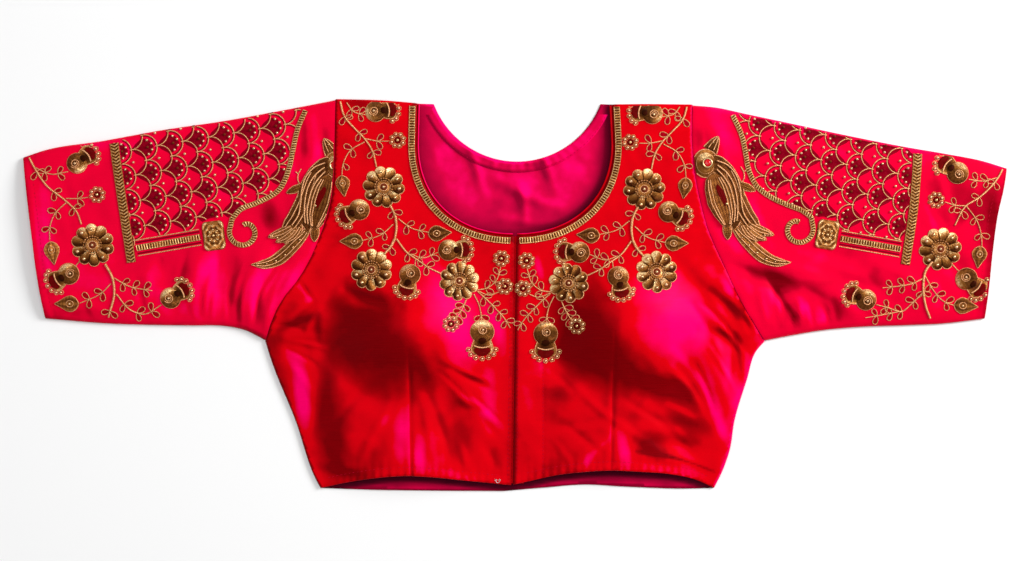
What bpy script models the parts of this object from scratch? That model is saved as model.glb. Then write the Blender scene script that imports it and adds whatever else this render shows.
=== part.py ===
"""A padded choli blouse laid flat on a table, front up, with its raised gold embroidery.

Sizes in the tables are millimetres, and MM turns them into metres when a mesh is made. X runs across the blouse,
+Y points to the neck and +Z is up. The origin is on the table, under the middle of the laid-out blouse. Right and
left are the wearer's, so the right half lies at -X.
"""

import math
from collections import Counter, namedtuple

import bpy
import numpy as np
from mathutils import Vector
from mathutils.bvhtree import BVHTree
from mathutils.geometry import delaunay_2d_cdt

MM = 0.001

# Cloth and seams
CLOTH = 1.3  # satin, cotton lining and the stitching between them
SEAM_GAP = 0.3  # clearance between two pieces that are sewn together
FOLD_GAP = 1.2  # inside a fold at the edge of a sleeve
FRONT_PUFF = 7.0  # how far the front stands off the back between the cups
SLEEVE_PUFF = 6.4
PUFF_REACH = 20.0  # how quickly the cloth rises from a seam or a fold
SETTLED_RISE = 4.0  # cloth that stands this high off a seam carries its folds at full height

# Neck, hem and front opening
NECK_CENTRE_Y = 144.0
FRONT_NECK = (91.0, 85.5)  # half width and depth below NECK_CENTRE_Y of the finished edge
NECK_SQUARENESS = 2.2  # exponent of the neck's superellipse, 2 being a plain ellipse
NECK_DIP = 1.6  # the front is drawn down where its edge is bound
NECK_DIP_WIDTH = 3.2
BACK_NECK_RADIUS = 85.0
BACK_NECK_CENTRE = (2.0, 211.4)
BACK_NECK_TOP = 181.0  # where the back neck's arc meets the shoulders
BACK_SHOULDER_Y = {"right": 181.3, "left": 180.6}
PIPING_RADIUS = 1.1
PIPING_SIDES = 6
CLOTH_AT_PIPING = (1.02, -1.5)  # scale of x and shift of y from the piping to the cloth whose height it takes
BRAID_OFFSET = 7.0  # from the finished neck edge to the middle of the gold braid
BRAID_WIDTH = 6.2
FACING_INSET = 0.4  # from the back neck's edge
FACING_WIDTH = 10.0
FACING_TOP_Y = 172.0  # the facing goes under the shoulders' seams above this
FACING_THICK = 1.0
OPENING_GAP = 2.2  # between the two front edges
OPENING_TOP_X = 0.6
OPENING_LEAN = 0.0145  # the opening drifts to -X towards the hem
UNDERLAP = (-13.0, 11.0)  # the hook strip's edges, from the opening line
UNDERLAP_THICK = 1.2
UNDERLAP_TOP_GAP = 3.0  # from the neck's edge
UNDERLAP_ROWS = 24
HEM_CENTRE_LIFT = 3.2
HEM_ARCH_LIFT = 11.0
HEM_FADE = 62.0  # how far up the front the hem's own height reaches
HEM_PUFF_SHARE = 0.3  # the hem rises from the side seams quicker than the rest, by this share of PUFF_REACH
HEM_FLAT = 8.0  # beside the opening, the hem doesn't arch
HALF_HEM = 186.0

# Bust cups
Cup = namedtuple("Cup", "x y half_width half_length height")
CUPS = (Cup(-104.0, -31.0, 74.0, 68.0, 25.0), Cup(105.0, -24.0, 74.0, 68.0, 25.0))
Dart = namedtuple("Dart", "top_x top_y foot_x foot_y")
DARTS = (Dart(-99.8, -49.4, -97.8, -168.0), Dart(94.0, -33.2, 91.2, -163.5))
DART_DEPTH = 0.8
DART_HALF_WIDTH = 2.6
DART_ROWS = 13
DART_END = 0.97  # the last row, as a share of the dart's length

# Mesh sizes
PANEL_STEP = 11.5
EDGE_STEP = 9.5
SLEEVE_SECTIONS = 21
RING_POINTS = 17
FOLD_SHARE = 0.01  # how far in from its edge, as a share of its width, a sleeve starts to turn over
NOSE_ANGLES = (55.0, 0.0, -55.0)  # points round the fold at each edge of a sleeve, in degrees

# Raised work
SEAT = 0.36  # clearance under a raised piece, at its corners
LEAST_SEAT = 0.26  # and between them
RIM_HEIGHT = 0.8
SEAM_MARGIN = 0.8  # between a motif that a seam cuts and that seam
TOP_MARGIN = 4.2  # motifs that run over a top edge are cut this far below it

# The laid-out lines of each half, in mm, each smoothed through its points
LINES = {
    "right": {
        "sleeve_top": [(-466.5, 130.2), (-447.5, 136.8), (-390.5, 146.3), (-333.5, 156.8), (-276.5, 165.3),
                       (-219.5, 175.8), (-170.0, 185.6)],
        "sleeve_under": [(-445.6, -21.9), (-390.5, -26.6), (-308.8, -29.0), (-276.5, -29.6), (-257.5, -33.3),
                         (-236.6, -43.7)],
        "cuff": [(-466.5, 130.2), (-461.7, 90.3), (-457.0, 52.3), (-452.2, 14.3), (-445.6, -21.9)],
        "armhole": [(-170.0, 185.6), (-170.5, 147.3), (-171.4, 111.2), (-174.5, 85.5), (-183.4, 58.3),
                    (-193.4, 34.6), (-205.2, 14.3), (-222.3, -7.6), (-230.9, -26.5), (-236.6, -43.7)],
        "side": [(-236.6, -43.7), (-230.9, -61.8), (-208.0, -118.8), (-188.1, -175.8), (-184.3, -182.8)],
        "shoulder": [(-90.3, 181.5), (-124.5, 184.3), (-170.0, 185.6)],
        "front_hem": [(-184.3, -182.8), (-161.5, -177.7), (-125.4, -172.0), (-104.5, -170.5), (-81.7, -171.5),
                      (-42.8, -175.8), (-3.8, -180.0)],
        "back_hem": [(-184.3, -182.8), (-143.5, -184.3), (-86.5, -185.3), (-10.5, -185.7)],
    },
    "left": {
        "sleeve_top": [(466.5, 119.7), (445.6, 126.4), (407.6, 134.0), (369.6, 140.6), (312.6, 152.0),
                       (255.6, 164.4), (217.6, 172.6), (191.0, 178.4), (168.2, 180.5)],
        "sleeve_under": [(445.6, -21.9), (407.6, -26.6), (369.6, -28.5), (331.6, -29.9), (293.6, -33.3),
                         (255.6, -39.9), (236.6, -43.7)],
        "cuff": [(466.5, 119.7), (462.7, 99.8), (457.9, 80.8), (452.2, 42.8), (448.4, 4.8), (445.6, -21.9)],
        "armhole": [(168.2, 180.5), (167.4, 147.0), (169.9, 116.0), (176.4, 83.6), (182.9, 60.8), (192.8, 38.0),
                    (200.0, 23.0), (213.9, -6.4), (225.4, -25.7), (236.6, -43.7)],
        "side": [(236.6, -43.7), (229.0, -52.3), (219.5, -80.8), (208.0, -118.8), (203.3, -147.3),
                 (196.7, -166.3), (188.6, -182.8)],
        "shoulder": [(89.3, 180.5), (122.6, 180.9), (168.2, 180.5)],
        "front_hem": [(188.6, -182.8), (171.0, -174.8), (145.4, -169.1), (118.8, -166.7), (91.2, -165.3),
                      (61.8, -167.2), (37.0, -170.6), (19.0, -174.8), (-1.9, -179.6)],
        "back_hem": [(188.6, -182.8), (160.6, -183.4), (103.6, -181.5), (65.6, -179.6), (27.6, -182.4),
                     (-10.5, -185.7)],
    },
}
SIDES = {"right": -1, "left": 1}
CLOSED_LINES = ("sleeve_top", "sleeve_under", "side", "shoulder")  # where the front meets the back

# The largest folds: a soft ridge, or a trough where height is negative, along a straight line
Fold = namedtuple("Fold", "x0 y0 x1 y1 width height")
FOLDS = [
    # round the right cup and underarm
    Fold(-160, 3, -112, -8, 8, -2.6), Fold(-226, -40, -158, -10, 10, 2.6), Fold(-222, -62, -170, -44, 10, -1.8),
    Fold(-196, -100, -150, -72, 12, 2.0), Fold(-70, -95, -46, -155, 11, -2.0), Fold(-160, -110, -168, -165, 12, 1.8),
    Fold(-58, -70, -26, -120, 10, 1.8), Fold(-200, 20, -168, 60, 11, -1.8),
    # round the left cup and underarm
    Fold(184, 3, 213, -26, 8, -2.6), Fold(166, 28, 196, -2, 9, 2.2), Fold(222, -52, 176, -34, 9, -2.0),
    Fold(172, -52, 206, -108, 11, 2.4), Fold(128, -98, 166, -140, 12, -2.0), Fold(44, -110, 74, -70, 11, 1.8),
    Fold(118, -136, 192, -158, 9, -1.8), Fold(30, -60, 60, -30, 10, -1.6),
    # right sleeve
    Fold(-300, 40, -304, -20, 10, 2.4), Fold(-276, 44, -270, -22, 10, -2.2), Fold(-246, 36, -252, -20, 9, 2.4),
    Fold(-222, 60, -238, 2, 9, -1.8), Fold(-330, 30, -322, -22, 9, -1.6), Fold(-196, 110, -214, 40, 10, 1.6),
    Fold(-420, -6, -372, -20, 8, 1.4),
    # left sleeve
    Fold(210, 18, 240, 14, 8, -2.4), Fold(238, 18, 256, -14, 8, -2.2), Fold(250, 28, 300, 4, 10, 2.4),
    Fold(276, 46, 330, 30, 9, -1.8), Fold(304, -2, 322, -26, 9, 2.0), Fold(262, 0, 282, -30, 9, 1.8),
    Fold(340, 26, 392, 8, 9, 1.6), Fold(408, 60, 430, -8, 9, -1.4),
]

# Motifs, at the middle of each. A bud's or leaf's size is its length, and it turns from +X, stalk to far end
Motif = namedtuple("Motif", "kind x y size turn")
FRONT_MOTIFS = (
    Motif("flower", -124.2, 102.2, 39, 12), Motif("flower", -135.6, 24.0, 39, 0),
    Motif("flower", -52.6, 13.4, 37, 30), Motif("bud", -124.6, 175.0, 34, 8), Motif("bud", -154.2, 77.6, 34, 205),
    Motif("bud", -55.2, 42.8, 34, 2), Motif("bud", -100.6, 12.0, 34, 258), Motif("bud", -31.0, -43.4, 39, 270),
    Motif("leaf", -162.6, 103.0, 20, 278), Motif("leaf", -155.0, 51.0, 22, 180), Motif("leaf", -71.0, 58.6, 22, 4),
)
FRONT_SHIFT = (-2.0, -2.0)  # from a mirror of the right front's motifs to the left front's own
SLEEVE_MOTIFS = {
    "right": (
        Motif("flower", -399.4, 47.3, 40, 5), Motif("bud", -408.6, 129.6, 34, 38), Motif("bud", -429.0, 16.2, 35, 210),
        Motif("bud", -319.6, 1.4, 34, 33), Motif("leaf", -437.5, 39.6, 22, 280), Motif("leaf", -424.6, -8.2, 23, 180),
    ),
    "left": (
        Motif("flower", 402.2, 43.6, 40, 25), Motif("bud", 412.6, 120.6, 36, 143), Motif("bud", 433.4, 10.2, 36, 320),
        Motif("bud", 325.0, -1.6, 34, 158), Motif("leaf", 438.9, 35.8, 21, 262), Motif("leaf", 427.2, -10.3, 23, 355),
    ),
}
PETALS = 9
FLOWER_RIM = ((0.0, 0.8), (0.3, 0.99), (0.7, 0.99))  # on each petal: share of its turn, and share of the radius
FLOWER_CROWNS = ((0.5, 0.7, 2.2), (0.0, 0.36, 1.2))  # the same, and the height
FLOWER_MIDDLE = 3.2

# Half outlines of the long motifs: the share along the middle line, and half the width there as a share of the most
PROFILES = {
    "bud": ((0.0, 0.0), (0.05, 0.45), (0.2, 0.85), (0.36, 0.8), (0.52, 0.5), (0.68, 0.55), (0.86, 1.0),
            (0.97, 0.8), (1.0, 0.0)),
    "leaf": ((0.0, 0.0), (0.1, 0.65), (0.3, 1.0), (0.55, 0.8), (0.8, 0.3), (1.0, 0.0)),
    "feather": ((0.0, 0.0), (0.06, 0.5), (0.22, 0.88), (0.5, 1.0), (0.76, 0.76), (0.93, 0.38), (1.0, 0.0)),
}
HALF_WIDTHS = {"bud": 0.34, "leaf": 0.33}  # of the motif's size
CROWN_RISE = 1.9  # how far the middle of a padded motif stands over its rim
CROWN_REACH = 3.0

# A parrot is a few overlapping feather shapes, here on the left sleeve: head, crest, body, wing, tail and rump
Feather = namedtuple("Feather", "line half_width")
PARROT = (
    Feather([(180.4, 138.2), (180.8, 111.2)], 11.8),
    Feather([(182.0, 129.0), (187.4, 141.0), (192.2, 150.8)], 6.2),
    Feather([(186.0, 119.0), (193.0, 100.0), (199.6, 80.0), (204.0, 60.0)], 13.6),
    Feather([(197.0, 124.0), (207.5, 102.0), (216.5, 77.0), (240.0, 52.0)], 9.8),
    Feather([(203.0, 70.0), (219.4, 50.6), (236.4, 35.4), (260.6, 30.8)], 6.4),
    Feather([(199.4, 68.0), (201.2, 52.4)], 4.4),
)
RIGHT_PARROT_SHIFT = (11.4, -2.0)  # the right one lies nearer its armhole, and its seam hides half of the head

# Braids round the scale work on each sleeve
SleevePanel = namedtuple("SleevePanel", "band bar square square_turn border scroll")
SLEEVE_PANELS = {
    "right": SleevePanel(
        band=[(-380.0, 144.0), (-371.4, 88.0), (-362.9, 31.0)],
        bar=[(-357.8, 44.4), (-297.6, 54.8)],
        square=(-284.9, 56.2), square_turn=7.0,
        border=[(-198.6, 175.0), (-205.2, 158.7), (-210.3, 136.4), (-213.8, 119.7), (-223.2, 99.6), (-243.2, 87.6),
                (-260.3, 80.4), (-267.6, 72.0)],
        scroll=(-257.2, 60.0),
    ),
    "left": SleevePanel(
        band=[(381.6, 134.0), (377.4, 86.0), (369.2, 29.0)],
        bar=[(364.4, 43.4), (308.0, 53.4)],
        square=(295.3, 57.2), square_turn=-9.0,
        border=[(206.4, 170.4), (214.7, 150.8), (218.3, 133.3), (221.2, 117.8), (229.0, 102.6), (242.5, 92.4),
                (259.0, 84.8), (272.6, 79.4), (280.2, 73.4)],
        scroll=(269.0, 62.6),
    ),
}
BAND_WIDTH = 8.8
BAR_WIDTH = 6.0
BORDER_WIDTH = 5.0
SQUARE_SIZE = (20.6, 27.6)
SQUARE_RIM = ((-1.0, -0.82), (-0.8, -1.0), (0.8, -1.0), (1.0, -0.82), (1.0, 0.82), (0.8, 1.0), (-0.8, 1.0),
              (-1.0, 0.82))  # shares of half its size
SCROLL_RADII = (12.9, 6.4)  # of the scroll's middle line, where it leaves the border and at its tip
SCROLL_TURNS = (166.0, 448.0)  # degrees on the right sleeve, anticlockwise from +X
SCROLL_CURL = 3.5  # how late the scroll tightens to its tip
SCROLL_POINTS = 20
BRAID_HEIGHT = 1.4


def clear_scene():
    for item in list(bpy.data.objects):
        bpy.data.objects.remove(item)


def even(points, step):
    """Points about step apart along a line of straight runs, its ends kept."""
    points = np.array(points, float)
    along = np.concatenate([[0.0], np.cumsum(np.linalg.norm(np.diff(points, axis=0), axis=1))])
    count = max(1, round(along[-1] / step))
    at = np.linspace(0.0, along[-1], count + 1)
    return np.stack([np.interp(at, along, points[:, k]) for k in range(points.shape[1])], axis=1)


def smooth(points, step):
    """Points about step apart on a smooth curve through the given ones."""
    knots = np.array(points, float)
    along = np.concatenate([[0.0], np.cumsum(np.linalg.norm(np.diff(knots, axis=0), axis=1))])
    slopes = np.gradient(knots, along, axis=0)
    curve = []
    for i in range(len(knots) - 1):
        span = along[i + 1] - along[i]
        for t in np.linspace(0.0, 1.0, 12, endpoint=False):
            curve.append(
                (2 * t**3 - 3 * t**2 + 1) * knots[i] + (t**3 - 2 * t**2 + t) * span * slopes[i]
                + (3 * t**2 - 2 * t**3) * knots[i + 1] + (t**3 - t**2) * span * slopes[i + 1]
            )
    return even([*curve, knots[-1]], step)


RING_SHARES = np.concatenate([[0.0], np.linspace(FOLD_SHARE, 1.0 - FOLD_SHARE, RING_POINTS), [1.0]])


def armhole(side, outward):
    """The armhole seam from the shoulder to the underarm, moved outward into the sleeve."""
    line = smooth(LINES[side]["armhole"], 1.0)
    along = np.linspace(0.0, 1.0, len(line))
    line = np.stack([np.interp(RING_SHARES, along, line[:, k]) for k in range(2)], axis=1)
    headings = np.gradient(line, axis=0)
    headings = headings / np.linalg.norm(headings, axis=1)[:, None]
    return line + SIDES[side] * outward * np.stack([-headings[:, 1], headings[:, 0]], axis=1)


def front_neck(side, outward, step):
    """One half of the front neck line, from the opening to the shoulder, moved outward from the finished edge."""
    half_width, depth = FRONT_NECK[0] + outward, FRONT_NECK[1] + outward
    power = 2.0 / NECK_SQUARENESS
    curve = []
    for turn in np.linspace(0.0, math.pi / 2, 60):
        x = half_width * math.sin(turn) ** power
        y = NECK_CENTRE_Y - depth * max(math.cos(turn), 0.0) ** power
        if x > OPENING_GAP / 2:
            curve.append((SIDES[side] * x, y))
    shoulder = LINES[side]["shoulder"][0]
    curve.append((shoulder[0] + SIDES[side] * outward, shoulder[1]))
    return even(curve, step)


def opening_x(y):
    return OPENING_TOP_X + OPENING_LEAN * (y - NECK_CENTRE_Y + FRONT_NECK[1])


def back_neck(outward, step):
    """The back neck's arc from the right shoulder to the left one, moved outward from the finished edge."""
    radius = BACK_NECK_RADIUS + outward
    half = math.acos((BACK_NECK_CENTRE[1] - BACK_NECK_TOP) / radius)
    arc = []
    for turn in np.linspace(-half, half, 60):
        arc.append((BACK_NECK_CENTRE[0] + radius * math.sin(turn), BACK_NECK_CENTRE[1] - radius * math.cos(turn)))
    return even(arc, step)


def segments_of(lines):
    starts, ends = [], []
    for line in lines:
        starts.extend(line[:-1])
        ends.extend(line[1:])
    return np.array(starts), np.array(ends)


def distance(x, y, segments):
    """From a point to the nearest of the segments."""
    starts, ends = segments
    run = ends - starts
    to_point = np.array((x, y)) - starts
    share = np.clip((to_point * run).sum(1) / (run * run).sum(1), 0.0, 1.0)
    return float(np.sqrt(((to_point - share[:, None] * run) ** 2).sum(1)).min())


CLOSED = {
    side: segments_of([smooth(LINES[side][name], 12.0) for name in CLOSED_LINES]) for side in SIDES
}
NECK_EDGE = {side: segments_of([front_neck(side, 0.0, 8.0)]) for side in SIDES}
HEM_EDGE = {side: segments_of([smooth(LINES[side]["front_hem"], 10.0)]) for side in SIDES}


def side_of(x):
    return "right" if x < 0 else "left"


def puff(x, y, height):
    gap = distance(x, y, CLOSED[side_of(x)])
    return height * (1.0 - math.exp(-gap / PUFF_REACH))


def fold_height(x, y):
    total = 0.0
    for fold in FOLDS:
        run_x, run_y = fold.x1 - fold.x0, fold.y1 - fold.y0
        share = ((x - fold.x0) * run_x + (y - fold.y0) * run_y) / (run_x**2 + run_y**2)
        share = min(max(share, 0.0), 1.0)
        away = math.hypot(x - fold.x0 - share * run_x, y - fold.y0 - share * run_y)
        if away < 3.0 * fold.width:
            taper = 1.0 - 0.55 * (2.0 * share - 1.0) ** 2
            total += fold.height * taper * math.exp(-((away / fold.width) ** 2))
    return total


def cup_height(x, y):
    total = 0.0
    for cup in CUPS:
        spread = ((x - cup.x) / cup.half_width) ** 2 + ((y - cup.y) / cup.half_length) ** 2
        if spread < 1.0:
            total += cup.height * (1.0 - spread) ** 1.4
    return total


def dart_depth(x, y):
    for dart in DARTS:
        if dart.foot_y < y < dart.top_y:
            share = (dart.top_y - y) / (dart.top_y - dart.foot_y)
            middle = dart.top_x + share * (dart.foot_x - dart.top_x)
            inside = 1.0 - abs(x - middle) / DART_HALF_WIDTH
            if inside > 0.0:
                return DART_DEPTH * inside * min(1.0, 4.0 * share)
    return 0.0


def hem_height(x):
    reach = min(abs(x) / HALF_HEM, 1.0)
    arch = math.sin(math.pi * min(max((abs(x) - HEM_FLAT) / (HALF_HEM - HEM_FLAT), 0.0), 1.0)) ** 2
    return HEM_CENTRE_LIFT * (1.0 - reach**2) + HEM_ARCH_LIFT * arch


def front_under(x, y):
    """Height of the underside of the front over the table."""
    side = side_of(x)
    rise = puff(x, y, FRONT_PUFF)
    near_hem = math.exp(-((distance(x, y, HEM_EDGE[side]) / HEM_FADE) ** 2))
    closed = 1.0 - math.exp(-distance(x, y, CLOSED[side]) / (HEM_PUFF_SHARE * PUFF_REACH))
    rise = (1.0 - near_hem) * rise + near_hem * hem_height(x) * closed
    settled = min(1.0, rise / SETTLED_RISE)
    rise += cup_height(x, y) + settled * fold_height(x, y) - dart_depth(x, y)
    rise -= NECK_DIP * math.exp(-((distance(x, y, NECK_EDGE[side]) / NECK_DIP_WIDTH) ** 2))
    return CLOTH + max(rise + SEAM_GAP, SEAM_GAP)


def sleeve_under(x, y):
    """Height of the underside of a sleeve's upper layer over the table."""
    rise = puff(x, y, SLEEVE_PUFF)
    settled = min(1.0, rise / SETTLED_RISE)
    return CLOTH + FOLD_GAP + max(rise + settled * fold_height(x, y), 0.0)


def over(under, x, y):
    """The upper side of a wall whose underside is given, so that the wall is as thick on a slope."""
    slope_x = under(x + 0.5, y) - under(x - 0.5, y)
    slope_y = under(x, y + 0.5) - under(x, y - 0.5)
    return under(x, y) + CLOTH * math.sqrt(1.0 + min(slope_x**2 + slope_y**2, 1.5))


def finish(name, colour, roughness, metallic=0.0):
    material = bpy.data.materials.new(name)
    material.use_nodes = True
    shader = material.node_tree.nodes["Principled BSDF"]
    shader.inputs["Base Color"].default_value = (*colour, 1.0)
    shader.inputs["Roughness"].default_value = roughness
    shader.inputs["Metallic"].default_value = metallic
    material.diffuse_color = (*colour, 1.0)
    return material


def add_object(name, points, faces, material):
    """Makes a named object from points in mm, with soft shading apart from its sharp edges."""
    mesh = bpy.data.meshes.new(name)
    mesh.from_pydata([(x * MM, y * MM, z * MM) for x, y, z in points], [], faces)
    mesh.materials.append(material)
    mesh.shade_smooth()
    mesh.set_sharp_from_angle(angle=math.radians(40))
    item = bpy.data.objects.new(name, mesh)
    bpy.context.scene.collection.objects.link(item)
    return item


def inside(x, y, outline):
    ahead = np.roll(outline, -1, axis=0)
    crossing = (outline[:, 1] > y) != (ahead[:, 1] > y)
    rise = np.where(crossing, ahead[:, 1] - outline[:, 1], 1.0)
    at = outline[:, 0] + (y - outline[:, 1]) / rise * (ahead[:, 0] - outline[:, 0])
    return bool((crossing & (x < at)).sum() % 2)


def filling(outline, step):
    """Points of a triangular grid inside an outline, clear of its edge."""
    edge = segments_of([np.vstack([outline, outline[:1]])])
    low, high = outline.min(0), outline.max(0)
    found = []
    row_step = step * math.sqrt(3) / 2
    for row in range(int((high[1] - low[1]) / row_step) + 1):
        y = low[1] + row * row_step
        for column in range(int((high[0] - low[0]) / step) + 2):
            x = low[0] + (column + 0.5 * (row % 2)) * step
            if inside(x, y, outline) and distance(x, y, edge) > 0.55 * step:
                found.append((x, y))
    return found


def plan_triangles(rims, inner):
    """Splits the area of one or more overlapping rims into anticlockwise triangles that use the inner points."""
    points = [Vector((float(x), float(y))) for rim in rims for x, y in rim]
    points += [Vector((float(x), float(y))) for x, y in inner]
    loops, first = [], 0
    for rim in rims:
        loops.append(list(range(first, first + len(rim))))
        first += len(rim)
    flat, _, faces, _, _, _ = delaunay_2d_cdt(points, [], loops, 1, 1e-3)
    turned = []
    for a, b, c in faces:
        area = (flat[b] - flat[a]).cross(flat[c] - flat[a])
        turned.append((a, b, c) if area > 0 else (a, c, b))
    return [(p.x, p.y) for p in flat], turned


def boundary(triangles):
    """The directed edges that only one triangle has."""
    directed = {edge for a, b, c in triangles for edge in ((a, b), (b, c), (c, a))}
    return sorted(edge for edge in directed if edge[::-1] not in directed)


def sandwich(name, flat, triangles, lower, upper, material):
    """A closed solid between two heights for each plan point."""
    count = len(flat)
    points = [(x, y, z) for (x, y), z in zip(flat, lower)]
    points += [(x, y, z) for (x, y), z in zip(flat, upper)]
    faces = [(a, c, b) for a, b, c in triangles]
    faces += [(a + count, b + count, c + count) for a, b, c in triangles]
    faces += [(a, b, b + count, a + count) for a, b in boundary(triangles)]
    return add_object(name, points, faces, material)


class Surface:
    """The upper side of finished cloth, for what is sewn onto it."""

    def __init__(self, item):
        mesh = item.data
        self.tree = BVHTree.FromPolygons([v.co for v in mesh.vertices], [tuple(p.vertices) for p in mesh.polygons])

    def height(self, x, y):
        hit = self.tree.ray_cast(Vector((x * MM, y * MM, 1.0)), Vector((0, 0, -1)))[0]
        if hit is None:
            hit = self.tree.find_nearest(Vector((x * MM, y * MM, 10 * MM)))[0]
        return hit.z / MM


def make_back(material):
    """The back: one flat piece on the table, cut out at the neck."""
    right, left = LINES["right"], LINES["left"]
    neck = back_neck(0.0, EDGE_STEP)
    outline = np.vstack([
        neck[::-1],
        [(right["shoulder"][0][0], BACK_SHOULDER_Y["right"])],
        armhole("right", 0.0),
        smooth(right["side"], 20.0)[1:],
        smooth(right["back_hem"], 16.0)[1:],
        smooth(left["back_hem"], 16.0)[::-1][1:],
        smooth(left["side"], 20.0)[::-1][1:],
        armhole("left", 0.0)[::-1][1:],
        [(left["shoulder"][0][0], BACK_SHOULDER_Y["left"])],
    ])
    flat, triangles = plan_triangles([outline], [])
    return sandwich("back", flat, triangles, [0.0] * len(flat), [CLOTH] * len(flat), material)


def front_outline(side):
    lines = LINES[side]
    sign = SIDES[side]
    hem = smooth(lines["front_hem"], EDGE_STEP)[:-1]
    hem = np.array([p for p in hem if sign * (p[0] - opening_x(p[1])) > OPENING_GAP / 2 + 3.0])
    neck = front_neck(side, 2 * PIPING_RADIUS + SEAM_GAP, EDGE_STEP)
    top_y, foot_y = neck[0][1], lines["front_hem"][-1][1]
    centre = []
    for y in np.linspace(foot_y, top_y, 22):
        centre.append((opening_x(y) + sign * OPENING_GAP / 2, y))
    neck = np.array([p for p in neck if sign * (p[0] - centre[-1][0]) > 3.0])
    shoulder = smooth(lines["shoulder"], EDGE_STEP)
    shoulder = np.array([p for p in shoulder if sign * (p[0] - neck[-1][0]) > 3.0])
    seam_side = smooth(lines["side"], EDGE_STEP)
    return np.vstack([centre, neck, shoulder, armhole(side, 0.0)[1:], seam_side[1:], hem[1:]])


def dart_points(side):
    """Rows of points along the dart, so that the mesh follows its groove."""
    dart = DARTS[0] if side == "right" else DARTS[1]
    rows = []
    for share in np.linspace(0.0, DART_END, DART_ROWS):
        y = dart.top_y + share * (dart.foot_y - dart.top_y)
        x = dart.top_x + share * (dart.foot_x - dart.top_x)
        rows.append((x, y))
        if 0.0 < share:
            rows += [(x - DART_HALF_WIDTH, y), (x + DART_HALF_WIDTH, y)]
    return rows


def make_front(side, material):
    outline = front_outline(side)
    rows = dart_points(side)
    spine = segments_of([np.array(rows[:1] + rows[1::3])])
    grid = [p for p in filling(outline, PANEL_STEP) if distance(*p, spine) > 0.62 * PANEL_STEP]
    flat, triangles = plan_triangles([outline], grid + rows)
    lower = [front_under(x, y) for x, y in flat]
    upper = [over(front_under, x, y) for x, y in flat]
    return sandwich("front_" + side, flat, triangles, lower, upper, material)


def sleeve_plan(side):
    """A function that gives the plan point at a share of the way up the sleeve and from its top fold down."""
    seam = armhole(side, SEAM_GAP + 0.06)
    lines = {name: smooth(LINES[side][name], 4.0) for name in ("sleeve_top", "sleeve_under", "cuff")}
    shares = {name: np.linspace(0.0, 1.0, len(line)) for name, line in lines.items()}
    lines["armhole"], shares["armhole"] = seam, RING_SHARES
    lines["sleeve_top"][-1], lines["sleeve_under"][-1] = seam[0], seam[-1]

    def at(name, share):
        return np.array([np.interp(share, shares[name], lines[name][:, k]) for k in range(2)])

    def place(up, down):
        across = (1 - up) * at("cuff", down) + up * at("armhole", down)
        along = (1 - down) * at("sleeve_top", up) + down * at("sleeve_under", up)
        corners = (
            (1 - up) * (1 - down) * at("cuff", 0) + (1 - up) * down * at("cuff", 1)
            + up * (1 - down) * at("armhole", 0) + up * down * at("armhole", 1)
        )
        return across + along - corners

    return place


def sleeve_ring(place, up, inner):
    """One closed section of a sleeve: its upper layer, the fold below, its under layer and the fold above."""
    fold_radius = CLOTH + FOLD_GAP / 2
    wall = 0.0 if inner else CLOTH
    shares = RING_SHARES[1:-1]
    points = []
    for share in shares:
        x, y = place(up, share)
        points.append((x, y, sleeve_under(x, y) if inner else over(sleeve_under, x, y)))
    for edge in (shares[-1], shares[0]):
        centre = place(up, edge)
        outward = place(up, round(edge)) - centre
        outward = outward / np.linalg.norm(outward)
        angles = NOSE_ANGLES if edge > 0.5 else NOSE_ANGLES[::-1]
        for angle in angles:
            turn = math.radians(angle)
            reach = (FOLD_GAP / 2 + wall) * math.cos(turn)
            x, y = centre + outward * reach
            points.append((x, y, fold_radius + (FOLD_GAP / 2 + wall) * math.sin(turn)))
        if edge > 0.5:
            for share in shares[::-1]:
                x, y = place(up, share)
                points.append((x, y, CLOTH if inner else 0.0))
    return points


def make_sleeve(side, material):
    """A sleeve: one flattened tube of cloth, open at the cuff and the armhole."""
    place = sleeve_plan(side)
    sections = np.linspace(0.0, 1.0, SLEEVE_SECTIONS)
    outer = [sleeve_ring(place, up, False) for up in sections]
    lining = [sleeve_ring(place, up, True) for up in sections]
    ring = len(outer[0])
    points = [p for section in outer for p in section] + [p for section in lining for p in section]
    inner_start = ring * SLEEVE_SECTIONS
    faces = []
    for row in range(SLEEVE_SECTIONS - 1):
        for k in range(ring):
            a, b = row * ring + k, row * ring + (k + 1) % ring
            c, d = b + ring, a + ring
            for first, second, third in ((a, b, c), (a, c, d)):
                faces.append((first, second, third))
                faces.append((third + inner_start, second + inner_start, first + inner_start))
    last = (SLEEVE_SECTIONS - 1) * ring
    for k in range(ring):
        following = (k + 1) % ring
        faces.append((inner_start + k, inner_start + following, following, k))
        faces.append((last + k, last + following, inner_start + last + following, inner_start + last + k))
    if SIDES[side] > 0:
        faces = [face[::-1] for face in faces]
    return add_object("sleeve_" + side, points, faces, material)


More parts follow.
